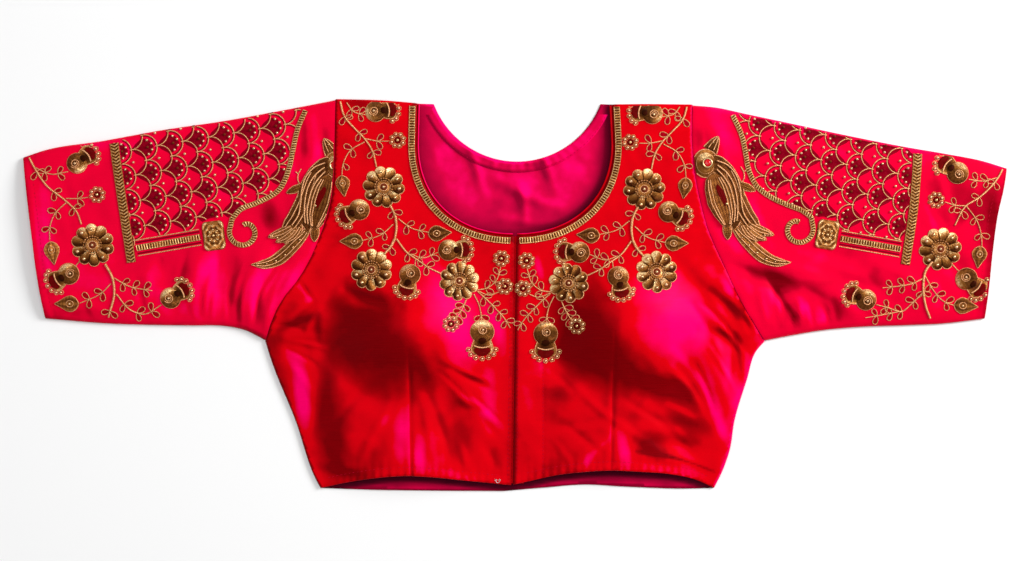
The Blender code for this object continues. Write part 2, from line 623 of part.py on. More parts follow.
def make_underlap(material):
    """The strip under the front opening that carries the hooks."""
    top_y = NECK_CENTRE_Y - FRONT_NECK[1] - UNDERLAP_TOP_GAP
    rows = np.linspace(LINES["left"]["front_hem"][-1][1] + 1.0, top_y, UNDERLAP_ROWS)
    shares = (0.0, 0.5, 1.0)
    flat, lower, upper = [], [], []
    for y in rows:
        for share in shares:
            x = opening_x(y) + UNDERLAP[0] + share * (UNDERLAP[1] - UNDERLAP[0])
            flat.append((x, y))
            highest = min(front_under(place, y) for place in (x, opening_x(y) - OPENING_GAP, opening_x(y) + OPENING_GAP))
            upper.append(highest - 2 * SEAM_GAP)
            lower.append(max(highest - 2 * SEAM_GAP - UNDERLAP_THICK, CLOTH + SEAM_GAP))
    triangles = []
    for row in range(len(rows) - 1):
        for k in range(len(shares) - 1):
            a = row * len(shares) + k
            b, c, d = a + 1, a + len(shares) + 1, a + len(shares)
            triangles += [(a, b, c), (a, c, d)]
    return sandwich("underlap", flat, triangles, lower, upper, material)


def make_tube(name, path, radius, sides, material):
    """A round cord through a path of (x, y, z) points, with flat ends."""
    path = np.array(path, float)
    headings = np.gradient(path, axis=0)
    points, faces = [], []
    for place, heading in zip(path, headings):
        heading = heading / np.linalg.norm(heading)
        across = np.cross(heading, (0.0, 0.0, 1.0))
        across = across / np.linalg.norm(across)
        up = np.cross(across, heading)
        for k in range(sides):
            turn = 2 * math.pi * k / sides
            points.append(tuple(place + radius * (math.cos(turn) * across + math.sin(turn) * up)))
    for row in range(len(path) - 1):
        for k in range(sides):
            a, b = row * sides + k, row * sides + (k + 1) % sides
            faces.append((a, a + sides, b + sides, b))
    faces.append(tuple(range(sides)))
    faces.append(tuple(len(points) - sides + k for k in range(sides))[::-1])
    return add_object(name, points, faces, material)


def make_neck_piping(side, material):
    path = []
    for x, y in front_neck(side, PIPING_RADIUS, 8.0)[:-1]:
        scale, shift = CLOTH_AT_PIPING
        path.append((x, y, front_under(x * scale, y + shift) + CLOTH / 2))
    return make_tube("neck_piping_" + side, path, PIPING_RADIUS, PIPING_SIDES, material)


def make_back_facing(material):
    """The band that finishes the back neck, turned to the inside and stitched down."""
    inner, outer = (
        np.array([p for p in back_neck(offset, EDGE_STEP) if p[1] < FACING_TOP_Y]) for offset in (FACING_INSET, FACING_WIDTH)
    )
    outline = np.vstack([inner, outer[::-1]])
    flat, triangles = plan_triangles([outline[::-1]], [])
    lower, upper = CLOTH + SEAM_GAP, CLOTH + SEAM_GAP + FACING_THICK
    return sandwich("neck_facing_back", flat, triangles, [lower] * len(flat), [upper] * len(flat), material)


def seats(flat, triangles, surface):
    """Heights of an underside that clears the cloth, between its points as well as at them."""
    steps = 7
    weights = [(a / steps, b / steps, (steps - a - b) / steps) for a in range(steps + 1) for b in range(steps + 1 - a)]
    lower = [surface.height(x, y) + SEAT for x, y in flat]
    for _ in range(3):
        raised = list(lower)
        for corners in triangles:
            for shares in weights:
                x, y, z = (
                    sum(share * value for share, value in zip(shares, values))
                    for values in zip(*[(*flat[k], lower[k]) for k in corners])
                )
                short = surface.height(x, y) + LEAST_SEAT - z
                if short > 0.0:
                    for k in corners:
                        raised[k] = max(raised[k], lower[k] + short)
        lower = raised
    return lower


def make_patch(name, rims, crowns, surface, material):
    """A padded piece sewn onto cloth: its overlapping rims in plan, and crowns (x, y, height) inside them.

    A crown's height is over the cloth, and None gives the padding's own height there.
    """
    rims = [anticlockwise(rim) for rim in rims]
    flat, triangles = plan_triangles(rims, [(x, y) for x, y, _ in crowns])
    edge = boundary(triangles)
    edge = np.array([flat[a] for a, _ in edge]), np.array([flat[b] for _, b in edge])
    given = {(round(x, 2), round(y, 2)): height for x, y, height in crowns}
    lower = seats(flat, triangles, surface)
    upper = []
    for (x, y), seat in zip(flat, lower):
        height = given.get((round(x, 2), round(y, 2)))
        if height is None:
            height = RIM_HEIGHT + CROWN_RISE * (1.0 - math.exp(-distance(x, y, edge) / CROWN_REACH))
        upper.append(seat + height)
    return sandwich(name, flat, triangles, lower, upper, material)


def anticlockwise(rim):
    points = np.array(rim, float)
    ahead = np.roll(points, -1, axis=0)
    area = np.sum(points[:, 0] * ahead[:, 1] - ahead[:, 0] * points[:, 1])
    return points if area > 0 else points[::-1]


def make_ribbon(name, line, width, height, surface, material):
    """A braid of even width along a line."""
    line = np.array(line, float)
    headings = np.gradient(line, axis=0)
    headings = headings / np.linalg.norm(headings, axis=1)[:, None]
    across = np.stack([-headings[:, 1], headings[:, 0]], axis=1) * width / 2
    rim = np.vstack([line + across, (line - across)[::-1]])
    count = len(line)
    triangles = []
    for k in range(count - 1):
        a, b, c, d = k, k + 1, 2 * count - 2 - k, 2 * count - 1 - k
        triangles += [(a, c, b), (a, d, c)]
    lower = seats([tuple(p) for p in rim], triangles, surface)
    return sandwich(name, [tuple(p) for p in rim], triangles, lower, [z + height for z in lower], material)


def spindle(line, profile, half_width):
    """Rim and middle points of a long shape along a line."""
    line = smooth(line, 1.0) if len(line) > 2 else even(line, 1.0)
    along = np.linspace(0.0, 1.0, len(line))
    headings = np.gradient(line, axis=0)
    left, right, crowns = [], [], []
    for share, width in PROFILES[profile]:
        x, y = (float(np.interp(share, along, line[:, k])) for k in range(2))
        if width == 0.0:
            left.append((x, y))
            continue
        hx, hy = (float(np.interp(share, along, headings[:, k])) for k in range(2))
        size = width * half_width / math.hypot(hx, hy)
        left.append((x - hy * size, y + hx * size))
        right.append((x + hy * size, y - hx * size))
        crowns.append((x, y, None))
    return left + right[::-1], crowns


def clipped(rim, room):
    """The part of a rim where room(x, y) is above nought."""
    kept = []
    for first, second in zip(rim, [*rim[1:], rim[0]]):
        here, there = room(*first), room(*second)
        if here >= 0.0:
            kept.append(first)
        if (here >= 0.0) != (there >= 0.0):
            share = here / (here - there)
            kept.append(tuple(a + share * (b - a) for a, b in zip(first, second)))
    return kept


def edge_room(side, group):
    """A function that says how far below the top edge of its piece, less a margin, a point is."""
    line = smooth(LINES[side]["shoulder" if group == "front" else "sleeve_top"], 6.0)
    line = line[np.argsort(line[:, 0])]

    def room(x, y):
        return float(np.interp(x, line[:, 0], line[:, 1])) - TOP_MARGIN - y

    return room


def motifs_of(side, group):
    """A group's motifs on one side: the sleeves have their own, and the left front mirrors the right."""
    if group == "sleeve":
        return SLEEVE_MOTIFS[side]
    if side == "right":
        return FRONT_MOTIFS
    shift = FRONT_SHIFT
    return [Motif(m.kind, shift[0] - m.x, shift[1] + m.y, m.size, 180.0 - m.turn) for m in FRONT_MOTIFS]


def make_flower(name, motif, surface, material):
    radius = motif.size / 2
    start = math.radians(motif.turn)
    rim, crowns = [], [(motif.x, motif.y, FLOWER_MIDDLE)]
    for k in range(PETALS):
        for offset, reach in FLOWER_RIM:
            turn = start + 2 * math.pi * (k + offset) / PETALS
            rim.append((motif.x + reach * radius * math.cos(turn), motif.y + reach * radius * math.sin(turn)))
        for offset, reach, height in FLOWER_CROWNS:
            turn = start + 2 * math.pi * (k + offset) / PETALS
            place = (motif.x + reach * radius * math.cos(turn), motif.y + reach * radius * math.sin(turn))
            crowns.append((*place, height))
    return make_patch(name, [rim], crowns, surface, material)


def make_long(name, motif, room, surface, material):
    """A bud or a leaf, cut off where it runs over the edge."""
    turn = math.radians(motif.turn)
    step = (math.cos(turn) * motif.size / 2, math.sin(turn) * motif.size / 2)
    line = [(motif.x - step[0], motif.y - step[1]), (motif.x + step[0], motif.y + step[1])]
    rim, crowns = spindle(line, motif.kind, HALF_WIDTHS[motif.kind] * motif.size)
    crowns = [crown for crown in crowns if room(*crown[:2]) > SEAM_MARGIN]
    return make_patch(name, [clipped(rim, room)], crowns, surface, material)


def scroll_line(side):
    """The scroll's middle line, from the end of the border to its tip."""
    centre = SLEEVE_PANELS[side].scroll
    line = []
    for share in np.linspace(0.0, 1.0, SCROLL_POINTS):
        turn = math.radians(SCROLL_TURNS[0] + share * (SCROLL_TURNS[1] - SCROLL_TURNS[0]))
        radius = SCROLL_RADII[0] + share**SCROLL_CURL * (SCROLL_RADII[1] - SCROLL_RADII[0])
        line.append((centre[0] - SIDES[side] * radius * math.cos(turn), centre[1] + radius * math.sin(turn)))
    return line


def make_sleeve_panel(side, surface, gold):
    """The braids that frame the scale work on a sleeve."""
    panel = SLEEVE_PANELS[side]
    make_ribbon("cuff_band_" + side, even(smooth(panel.band, 2.0), 10.0), BAND_WIDTH, BRAID_HEIGHT, surface, gold)
    make_ribbon("panel_bar_" + side, even(panel.bar, 10.0), BAR_WIDTH, BRAID_HEIGHT, surface, gold)
    border = [*even(smooth(panel.border, 2.0), 7.5), *scroll_line(side)]
    make_ribbon("panel_border_" + side, border, BORDER_WIDTH, BRAID_HEIGHT, surface, gold)
    x, y = panel.square
    turn = math.radians(panel.square_turn)
    rim = []
    for right, up in SQUARE_RIM:
        across, along = right * SQUARE_SIZE[0] / 2, up * SQUARE_SIZE[1] / 2
        rim.append((x + across * math.cos(turn) - along * math.sin(turn),
                    y + across * math.sin(turn) + along * math.cos(turn)))
    make_patch("panel_square_" + side, [rim], [(x, y, None)], surface, gold)


def make_parrot(side, surface, gold):
    seam = armhole(side, SEAM_GAP)
    order = np.argsort(seam[:, 1])
    rims, crowns = [], []

    def room(x, y):
        seam_x = float(np.interp(y, seam[order, 1], seam[order, 0]))
        return SIDES[side] * (x - seam_x) - SEAM_MARGIN

    for feather in PARROT:
        line = feather.line
        if side == "right":
            line = [(RIGHT_PARROT_SHIFT[0] - x, RIGHT_PARROT_SHIFT[1] + y) for x, y in line]
        rim, middle = spindle(line, "feather", feather.half_width)
        rim = clipped(rim, room)
        if len(rim) > 2:
            rims.append(rim)
            crowns += [crown for crown in middle if room(*crown[:2]) > SEAM_MARGIN]
    make_patch("parrot_" + side, rims, crowns, surface, gold)


def make_motifs(side, surface, group, gold):
    room = edge_room(side, group)
    made = Counter()
    for motif in motifs_of(side, group):
        made[motif.kind] += 1
        name = f"{motif.kind}_{group}_{side}_{made[motif.kind]}"
        if motif.kind == "flower":
            make_flower(name, motif, surface, gold)
        else:
            make_long(name, motif, room, surface, gold)


def main():
    clear_scene()
    satin = finish("red_satin", (0.72, 0.0, 0.06), 0.38)
    lining = finish("pink_lining", (0.78, 0.0, 0.16), 0.5)
    gold = finish("gold_zari", (0.56, 0.38, 0.14), 0.42, 0.85)
    make_back(lining)
    make_back_facing(lining)
    make_underlap(satin)
    for side in SIDES:
        front = Surface(make_front(side, satin))
        sleeve = Surface(make_sleeve(side, satin))
        make_neck_piping(side, lining)
        braid = even(front_neck(side, BRAID_OFFSET, 1.0)[2:-2], 9.0)
        make_ribbon("neck_braid_" + side, braid, BRAID_WIDTH, BRAID_HEIGHT, front, gold)
        make_motifs(side, front, "front", gold)
        make_motifs(side, sleeve, "sleeve", gold)
        make_sleeve_panel(side, sleeve, gold)
        make_parrot(side, sleeve, gold)


main()
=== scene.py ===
"""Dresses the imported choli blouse: satin, lining, gold embroidery, stitching, floor, light and camera.

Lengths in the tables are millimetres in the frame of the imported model: X across the blouse, +Y to the neck
and +Z up from the table. Right and left are the wearer's, so the right half lies at -X.
"""

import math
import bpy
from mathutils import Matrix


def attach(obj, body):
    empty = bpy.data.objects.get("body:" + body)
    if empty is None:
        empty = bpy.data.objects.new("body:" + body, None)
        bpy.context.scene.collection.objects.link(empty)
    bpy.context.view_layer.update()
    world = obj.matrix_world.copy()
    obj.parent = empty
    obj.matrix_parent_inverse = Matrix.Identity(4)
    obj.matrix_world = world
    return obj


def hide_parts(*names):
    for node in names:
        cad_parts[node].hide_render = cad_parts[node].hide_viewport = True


bl_info = {
    "name": "Choli Blouse",
    "version": (1, 0, 0),
    "blender": (4, 5, 0),
    "location": "View3D > Sidebar > Choli",
    "description": "Builds a laid-out red satin choli blouse with raised gold embroidery",
    "category": "Object",
}

from collections import namedtuple

import bpy
import numpy as np
from mathutils import Vector
from mathutils.geometry import delaunay_2d_cdt

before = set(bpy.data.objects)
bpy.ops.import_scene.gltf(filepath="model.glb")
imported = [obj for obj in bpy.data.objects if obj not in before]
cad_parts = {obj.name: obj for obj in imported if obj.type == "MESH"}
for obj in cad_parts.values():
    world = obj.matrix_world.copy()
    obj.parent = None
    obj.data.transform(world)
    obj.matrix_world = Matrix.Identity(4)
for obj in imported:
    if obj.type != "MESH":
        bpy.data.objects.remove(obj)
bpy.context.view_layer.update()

MM = 0.001
SIDES = {"right": -1, "left": 1}

# The solids' own sizes, which the cloth here keeps to
CLOTH = 1.3
SEAM_GAP = 0.3
FLOOR_Z = -0.0003
FOLD_GAP = 1.2
FRONT_PUFF = 7.0
SLEEVE_PUFF = 6.4
PUFF_REACH = 20.0
NECK_CENTRE_Y = 144.0
FRONT_NECK = (91.0, 85.5)
NECK_SQUARENESS = 2.2
BACK_NECK_RADIUS = 85.0
BACK_NECK_CENTRE = (2.0, 211.4)
BACK_NECK_TOP = 181.0
BACK_SHOULDER_Y = {"right": 181.3, "left": 180.6}
PIPING_RADIUS = 1.1
PIPING_SIDES = 10
BRAID_OFFSET = 7.0
BRAID_WIDTH = 6.2
FACING_WIDTH = 10.0
FACING_TOP_Y = 172.0  # where the facing ends below the shoulders
OPENING_GAP = 2.2
OPENING_TOP_X = 0.6
OPENING_LEAN = 0.0145
UNDERLAP = (-13.0, 11.0)
HEM_CENTRE_LIFT = 3.2
HEM_ARCH_LIFT = 11.0
HEM_FADE = 62.0
HALF_HEM = 186.0
STITCH_INSET = 8.0  # how far in from the hem and the cuff their stitching runs
EDGE_MARGIN = 1.4  # how far embroidery stays from the top edges
SEAM_MARGIN = 1.2
CUFF_MARGIN = 1.6
TWIST = 1.6  # length of one turn of the twisted thread
SHARP_ANGLE = 62.0
CAMERA_PLACE = (-0.00285, 0.0138, 2.297)
CAMERA_LENS = 85.0
FLOOR_REACH = 4.0

Cup = namedtuple("Cup", "x y half_width half_length height")
CUPS = (Cup(-104.0, -31.0, 74.0, 68.0, 25.0), Cup(105.0, -24.0, 74.0, 68.0, 25.0))
CUP_SPREAD = 1.21  # the padding's soft edge reaches past the solid's
Dart = namedtuple("Dart", "top_x top_y foot_x foot_y")
DARTS = {"right": Dart(-99.8, -49.4, -97.8, -168.0), "left": Dart(94.0, -33.2, 91.2, -163.5)}
PLACKET_SEAM = (26.6, -176.0, -42.0)  # x of the left front's placket stitching, and where it starts and ends
HOOK = (-16.4, -176.2)

# Edges and seams in plan
LINES = {
    "right": {
        "sleeve_top": [(-466.5, 130.2), (-447.5, 136.8), (-390.5, 146.3), (-333.5, 156.8), (-276.5, 165.3),
                       (-219.5, 175.8), (-170.0, 185.6)],
        "sleeve_under": [(-445.6, -21.9), (-390.5, -26.6), (-308.8, -29.0), (-276.5, -29.6), (-257.5, -33.3),
                         (-236.6, -43.7)],
        "cuff": [(-466.5, 130.2), (-461.7, 90.3), (-457.0, 52.3), (-452.2, 14.3), (-445.6, -21.9)],
        "armhole": [(-170.0, 185.6), (-170.5, 147.3), (-171.4, 111.2), (-174.5, 85.5), (-183.4, 58.3),
                    (-193.4, 34.6), (-205.2, 14.3), (-222.3, -7.6), (-230.9, -26.5), (-236.6, -43.7)],
        "side": [(-236.6, -43.7), (-230.9, -61.8), (-208.0, -118.8), (-188.1, -175.8), (-184.3, -182.8)],
        "shoulder": [(-90.3, 181.5), (-124.5, 184.3), (-170.0, 185.6)],
        "front_hem": [(-184.3, -182.8), (-161.5, -177.7), (-125.4, -172.0), (-104.5, -170.5), (-81.7, -171.5),
                      (-42.8, -175.8), (-3.8, -180.0)],
        "back_hem": [(-184.3, -182.8), (-143.5, -184.3), (-86.5, -185.3), (-10.5, -185.7)],
    },
    "left": {
        "sleeve_top": [(466.5, 119.7), (445.6, 126.4), (407.6, 134.0), (369.6, 140.6), (312.6, 152.0),
                       (255.6, 164.4), (217.6, 172.6), (191.0, 178.4), (168.2, 180.5)],
        "sleeve_under": [(445.6, -21.9), (407.6, -26.6), (369.6, -28.5), (331.6, -29.9), (293.6, -33.3),
                         (255.6, -39.9), (236.6, -43.7)],
        "cuff": [(466.5, 119.7), (462.7, 99.8), (457.9, 80.8), (452.2, 42.8), (448.4, 4.8), (445.6, -21.9)],
        "armhole": [(168.2, 180.5), (167.4, 147.0), (169.9, 116.0), (176.4, 83.6), (182.9, 60.8),
                    (192.8, 38.0), (200.0, 23.0), (213.9, -6.4), (225.4, -25.7), (236.6, -43.7)],
        "side": [(236.6, -43.7), (229.0, -52.3), (219.5, -80.8), (208.0, -118.8), (203.3, -147.3),
                 (196.7, -166.3), (188.6, -182.8)],
        "shoulder": [(89.3, 180.5), (122.6, 180.9), (168.2, 180.5)],
        "front_hem": [(188.6, -182.8), (171.0, -174.8), (145.4, -169.1), (118.8, -166.7), (91.2, -165.3),
                      (61.8, -167.2), (37.0, -170.6), (19.0, -174.8), (-1.9, -179.6)],
        "back_hem": [(188.6, -182.8), (160.6, -183.4), (103.6, -181.5), (65.6, -179.6), (27.6, -182.4),
                     (-10.5, -185.7)],
    },
}
CLOSED_LINES = ("sleeve_top", "sleeve_under", "side", "shoulder")

# Folds and creases, each x0, y0, x1, y1, width and height: a soft ridge between two points, or a trough where
# the height is negative
FOLDS = np.array([
    # the large ones, which the solids have too
    (-160, 3, -112, -8, 8, -2.6), (-226, -40, -158, -10, 10, 2.6), (-222, -62, -170, -44, 10, -1.8),
    (-196, -100, -150, -72, 12, 2.0), (-70, -95, -46, -155, 11, -2.0), (-160, -110, -168, -165, 12, 1.8),
    (-58, -70, -26, -120, 10, 1.8), (-200, 20, -168, 60, 11, -1.8),
    (184, 3, 213, -26, 8, -2.6), (166, 28, 196, -2, 9, 2.2), (222, -52, 176, -34, 9, -2.0),
    (172, -52, 206, -108, 11, 2.4), (128, -98, 166, -140, 12, -2.0), (44, -110, 74, -70, 11, 1.8),
    (118, -136, 192, -158, 9, -1.8), (30, -60, 60, -30, 10, -1.6),
    (-300, 40, -304, -20, 10, 2.4), (-276, 44, -270, -22, 10, -2.2), (-246, 36, -252, -20, 9, 2.4),
    (-222, 60, -238, 2, 9, -1.8), (-330, 30, -322, -22, 9, -1.6), (-196, 110, -214, 40, 10, 1.6),
    (-420, -6, -372, -20, 8, 1.4),
    (210, 18, 240, 14, 8, -2.4), (238, 18, 256, -14, 8, -2.2), (250, 28, 300, 4, 10, 2.4),
    (276, 46, 330, 30, 9, -1.8), (304, -2, 322, -26, 9, 2.0), (262, 0, 282, -30, 9, 1.8),
    (340, 26, 392, 8, 9, 1.6), (408, 60, 430, -8, 9, -1.4),
    # fine ones on the right front
    (-164, 6, -128, -4, 2.6, -1.0), (-158, 12, -120, 2, 4.0, 0.8), (-232, -38, -196, -26, 3.0, -0.9),
    (-228, -44, -182, -40, 3.4, 0.8), (-206, -24, -186, -4, 3.2, -0.9), (-196, -36, -184, -14, 2.8, 0.7),
    (-212, -70, -196, -92, 4.0, 0.6), (-70, -66, -50, -72, 3.0, -0.8), (-46, -76, -22, -86, 2.8, -0.9),
    (-62, -84, -34, -112, 4.0, 0.7), (-44, -100, -20, -132, 3.6, -0.7), (-92, -98, -78, -150, 4.2, 0.8),
    (-84, -96, -62, -150, 3.6, -0.7), (-120, -100, -142, -156, 4.4, 0.7), (-150, -90, -176, -128, 4.6, -0.7),
    (-56, -134, -40, -166, 3.4, 0.6), (-30, -140, -16, -164, 3.2, -0.5), (-178, -132, -160, -158, 4.0, 0.5),
    # fine ones on the left front
    (196, 14, 214, -12, 2.8, -1.0), (214, -14, 226, -34, 2.4, -0.9), (178, 2, 196, -14, 3.4, 0.8),
    (168, -10, 190, -40, 3.6, -0.8), (188, -36, 196, -66, 3.4, 0.7), (206, -50, 200, -84, 3.2, -0.7),
    (140, -66, 176, -108, 4.0, 0.9), (150, -66, 188, -118, 3.4, -0.8), (64, -92, 96, -118, 3.8, 0.7),
    (106, -96, 150, -128, 3.6, -0.7), (92, -112, 134, -148, 4.0, 0.7), (50, -126, 82, -148, 3.6, -0.6),
    (140, -118, 178, -152, 3.6, 0.6), (110, -150, 150, -160, 3.0, 0.5), (34, -140, 52, -162, 3.4, 0.5),
    (36, -74, 58, -92, 3.6, -0.6),
    # fine ones on the right sleeve
    (-312, 38, -316, 4, 3.2, -0.8), (-290, 30, -292, -18, 3.4, 0.8), (-284, 42, -280, 8, 3.0, -0.7),
    (-262, 40, -262, 2, 3.4, 0.8), (-258, 20, -262, -24, 3.2, -0.8), (-240, 24, -244, -26, 3.0, -0.8),
    (-232, 44, -240, 18, 3.2, 0.7), (-214, 26, -226, 0, 3.0, -0.8), (-270, -2, -274, -26, 3.0, 0.7),
    (-226, 6, -234, -30, 2.8, 0.8), (-344, 22, -348, -14, 3.6, 0.6), (-356, 18, -352, -24, 3.2, -0.6),
    (-204, 70, -222, 48, 3.2, 0.7), (-190, 150, -196, 118, 4.0, 0.7), (-182, 150, -186, 112, 3.4, -0.6),
    (-306, -8, -318, -26, 3.2, -0.6), (-446, 60, -442, 20, 4.0, 0.5), (-428, 104, -420, 62, 4.0, -0.5),
    # fine ones on the left sleeve
    (228, 24, 262, 12, 3.4, -1.0), (240, 8, 254, -12, 2.8, -1.0), (228, 4, 240, -24, 3.0, 0.8),
    (256, 30, 286, 22, 3.4, 0.8), (268, 12, 296, -6, 3.2, -0.8), (286, -4, 296, -28, 2.8, -0.8),
    (300, 26, 330, 16, 3.4, 0.7), (310, 12, 344, 4, 3.0, -0.6), (328, -4, 338, -26, 3.0, 0.7),
    (190, 150, 196, 116, 3.8, 0.7), (178, 160, 180, 130, 3.2, -0.6), (352, 20, 376, 12, 3.0, -0.5),
    (402, 118, 408, 76, 4.0, 0.5), (456, 80, 448, 40, 3.8, -0.5), (246, -8, 252, -30, 2.6, -0.8),
    # sharp ones near the underarms
    (236, 17, 262, -16, 1.9, -1.3), (262, -16, 264, -30, 1.7, -1.1), (204, 25, 244, 15, 2.2, -1.2),
    (276, -7, 284, -31, 1.7, -1.2), (266, -2, 272, -28, 1.8, 1.0), (246, 6, 250, -22, 2.2, 1.1),
    (292, -10, 296, -28, 1.6, -0.9), (190, -22, 216, -44, 1.8, -1.1), (196, -30, 220, -58, 1.9, 1.0),
    (178, -10, 204, -30, 1.9, -1.1), (184, -52, 206, -92, 2.0, 0.9), (168, -66, 190, -112, 2.0, -1.0),
    (-206, 10, -190, -8, 1.9, -1.2), (-226, -30, -198, -34, 1.8, -1.2), (-214, -46, -178, -50, 1.8, 1.0),
    (-216, -54, -190, -66, 1.8, -1.0), (-238, 16, -246, -26, 1.8, -1.2), (-254, 14, -258, -28, 1.8, 1.0),
    (-268, 20, -270, -20, 1.7, -1.0), (-282, 4, -288, -27, 1.7, 0.9), (-226, 26, -240, -4, 1.9, 1.0),
    (-66, -76, -44, -96, 1.8, -1.0), (-52, -70, -24, -78, 1.8, 0.9), (-40, -92, -18, -116, 1.9, -0.9),
    # the back's lining, seen inside the neck, and its hem under the front's
    (4, 106, 7, 64, 5, 1.4), (-14, 72, 50, 68, 4, 1.2), (-40, 140, -34, 96, 4.5, 1.0),
    (28, 136, 40, 100, 4.5, 0.9), (-60, 150, -20, 128, 8, 1.2), (-30, 112, 14, 96, 7, 1.0),
    (16, 130, 60, 150, 8, 1.1),
    (40, 108, 72, 122, 6, -0.8), (-66, 120, -50, 88, 7, -0.9), (-10, 128, 20, 116, 6, -0.8),
    (-2, 98, 40, 84, 6, 0.9), (60, 140, 76, 118, 5, 0.8), (-80, 150, -72, 118, 5, 0.7),
], float)

# Painted light on the satin in patches along lines, each x0, y0, x1, y1, width and amount: a painted pink
# highlight along them, or painted dark red shade where the amount is negative
PAINTED_LIGHT_PATCHES = np.array([
    # right front
    (-162, 184, -128, 174, 9, -0.4), (-118, -38, -87, -79, 20, -0.36), (-163, -12, -112, -15, 9, -0.26),
    (-178, -60, -183, -132, 9, -0.3),
    (-170, -108, -167, -164, 14, -0.3), (-208, -63, -200, -121, 9, 0.42), (-107, -111, -107, -164, 9, 0.45),
    (-89, -138, -87, -166, 6, 0.48), (-126, -124, -138, -140, 11, 0.16), (-86, -104, -50, -158, 7, -0.3),
    (-54, -88, -15, -124, 8, 0.32), (-66, -1, -50, -47, 11, 0.22), (-30, -2, -10, -52, 8, 0.48),
    (-61, -68, -26, -80, 3.4, -0.4), (-56, -100, -32, -105, 3.4, -0.34), (-74, -44, -62, -84, 8, -0.34),
    (-184, -15, -183, -45, 3.6, -0.42), (-221, -34, -184, -20, 3.4, -0.38), (-200, -8, -180, -2, 4, 0.22),
    (-160, 4, -124, -8, 3.2, -0.4), (-150, -98, -120, -124, 7, 0.2), (-22, -140, -14, -166, 6, -0.25),
    (-214, -58, -192, -136, 8, 0.42), (-20, -62, -24, -104, 8, 0.26), (-88, -58, -80, -96, 9, -0.36),
    (-74, -98, -44, -160, 9, -0.26), (-184, -160, -140, -172, 5, -0.34), (-44, -74, -36, -96, 6, -0.2),
    # left front
    (58, -28, 114, -90, 22, -0.4), (38, -52, 86, -60, 13, -0.26), (119, -77, 174, -99, 9, -0.4),
    (113, -112, 188, -128, 7, -0.3), (143, -9, 167, -38, 18, 0.14), (172, -60, 196, -122, 6, 0.42),
    (102, -128, 101, -160, 7, 0.45), (68, -146, 64, -161, 5, 0.36), (22, 38, 29, 15, 3.6, 0.42),
    (135, -144, 190, -150, 5, 0.22), (113, -147, 189, -167, 1.8, -0.5), (185, 3, 224, -26, 3.6, -0.5),
    (212, -38, 214, -88, 3.6, -0.46), (190, -34, 214, -44, 3.2, -0.34), (220, -60, 208, -104, 3.4, 0.3),
    (14, -80, 20, -160, 7, 0.1), (146, -104, 172, -118, 2.6, 0.4), (40, -120, 60, -128, 6, -0.16),
    (112, -62, 176, -118, 19, -0.42), (148, -50, 190, -112, 5, 0.42), (190, -112, 204, -136, 5, 0.4),
    (132, -128, 178, -148, 8, -0.34), (206, -148, 194, -172, 7, 0.3), (26, -92, 60, -100, 7, -0.22),
    (34, -132, 88, -118, 4, 0.16), (60, -160, 96, -124, 3, 0.2),
    (116, -138, 146, -153, 11, -0.85), (150, -60, 166, -72, 8, -0.26), (199, 8, 203, -4, 7, 0.35),
    (96, -112, 130, -134, 6, -0.16), (30, 60, 60, 90, 9, -0.14),
    # right sleeve
    (-440, 40, -380, 0, 24, 0.14), (-449, 112, -441, -4, 11, 0.32), (-430, 148, -330, 142, 9, 0.2),
    (-186, 176, -198, 110, 7, 0.18), (-300, 150, -260, 60, 16, 0.1), (-350, 20, -330, -20, 6, 0.2),
    (-323, -5, -299, -21, 9, 0.3), (-285, 35, -295, 15, 6, 0.3), (-290, 10, -215, 20, 15, 0.2),
    (-206, 28, -225, -15, 7, 0.36), (-198, 58, -214, 28, 7, -0.2), (-231, 88, -230, 62, 8, -0.5),
    (-199, 168, -203, 122, 4.5, -0.4),
    (-287, 25, -295, -17, 2.4, -0.4), (-259, 39, -265, -5, 2.8, -0.3), (-307, -7, -305, -23, 2.4, -0.34),
    (-237, 3, -239, -25, 3.6, -0.34), (-336, 38, -330, 22, 3, -0.2), (-440, 96, -434, 74, 5, -0.14),
    (-183, 172, -180, 132, 5, -0.2), (-212, 132, -205, 96, 6, 0.16), (-410, -2, -404, -18, 3, -0.2),
    # left sleeve
    (420, 122, 438, 62, 24, -0.32), (454, 116, 448, 50, 8, -0.36), (398, 112, 384, 60, 10, -0.2),
    (190, 172, 204, 128, 9, 0.3), (224, 83, 244, 51, 7, 0.28), (193, 60, 213, 38, 7, 0.3),
    (253, 4, 256, -8, 9, 0.5), (268, -4, 271, -16, 7, 0.36), (289, -20, 292, -26, 6, 0.3),
    (386, 87, 397, 60, 5, 0.34), (426, 74, 428, 60, 5, 0.3), (217, 20, 262, 11, 7, -0.44),
    (240, 11, 264, -20, 3.6, -0.36), (276, 15, 312, 9, 6, -0.28), (455, 83, 448, -7, 5, -0.24),
    (174, 161, 172, 136, 4, -0.24), (330, 18, 350, 6, 5, -0.2), (300, -4, 306, -26, 3, -0.3),
    (400, 16, 404, -6, 5, 0.2),
])

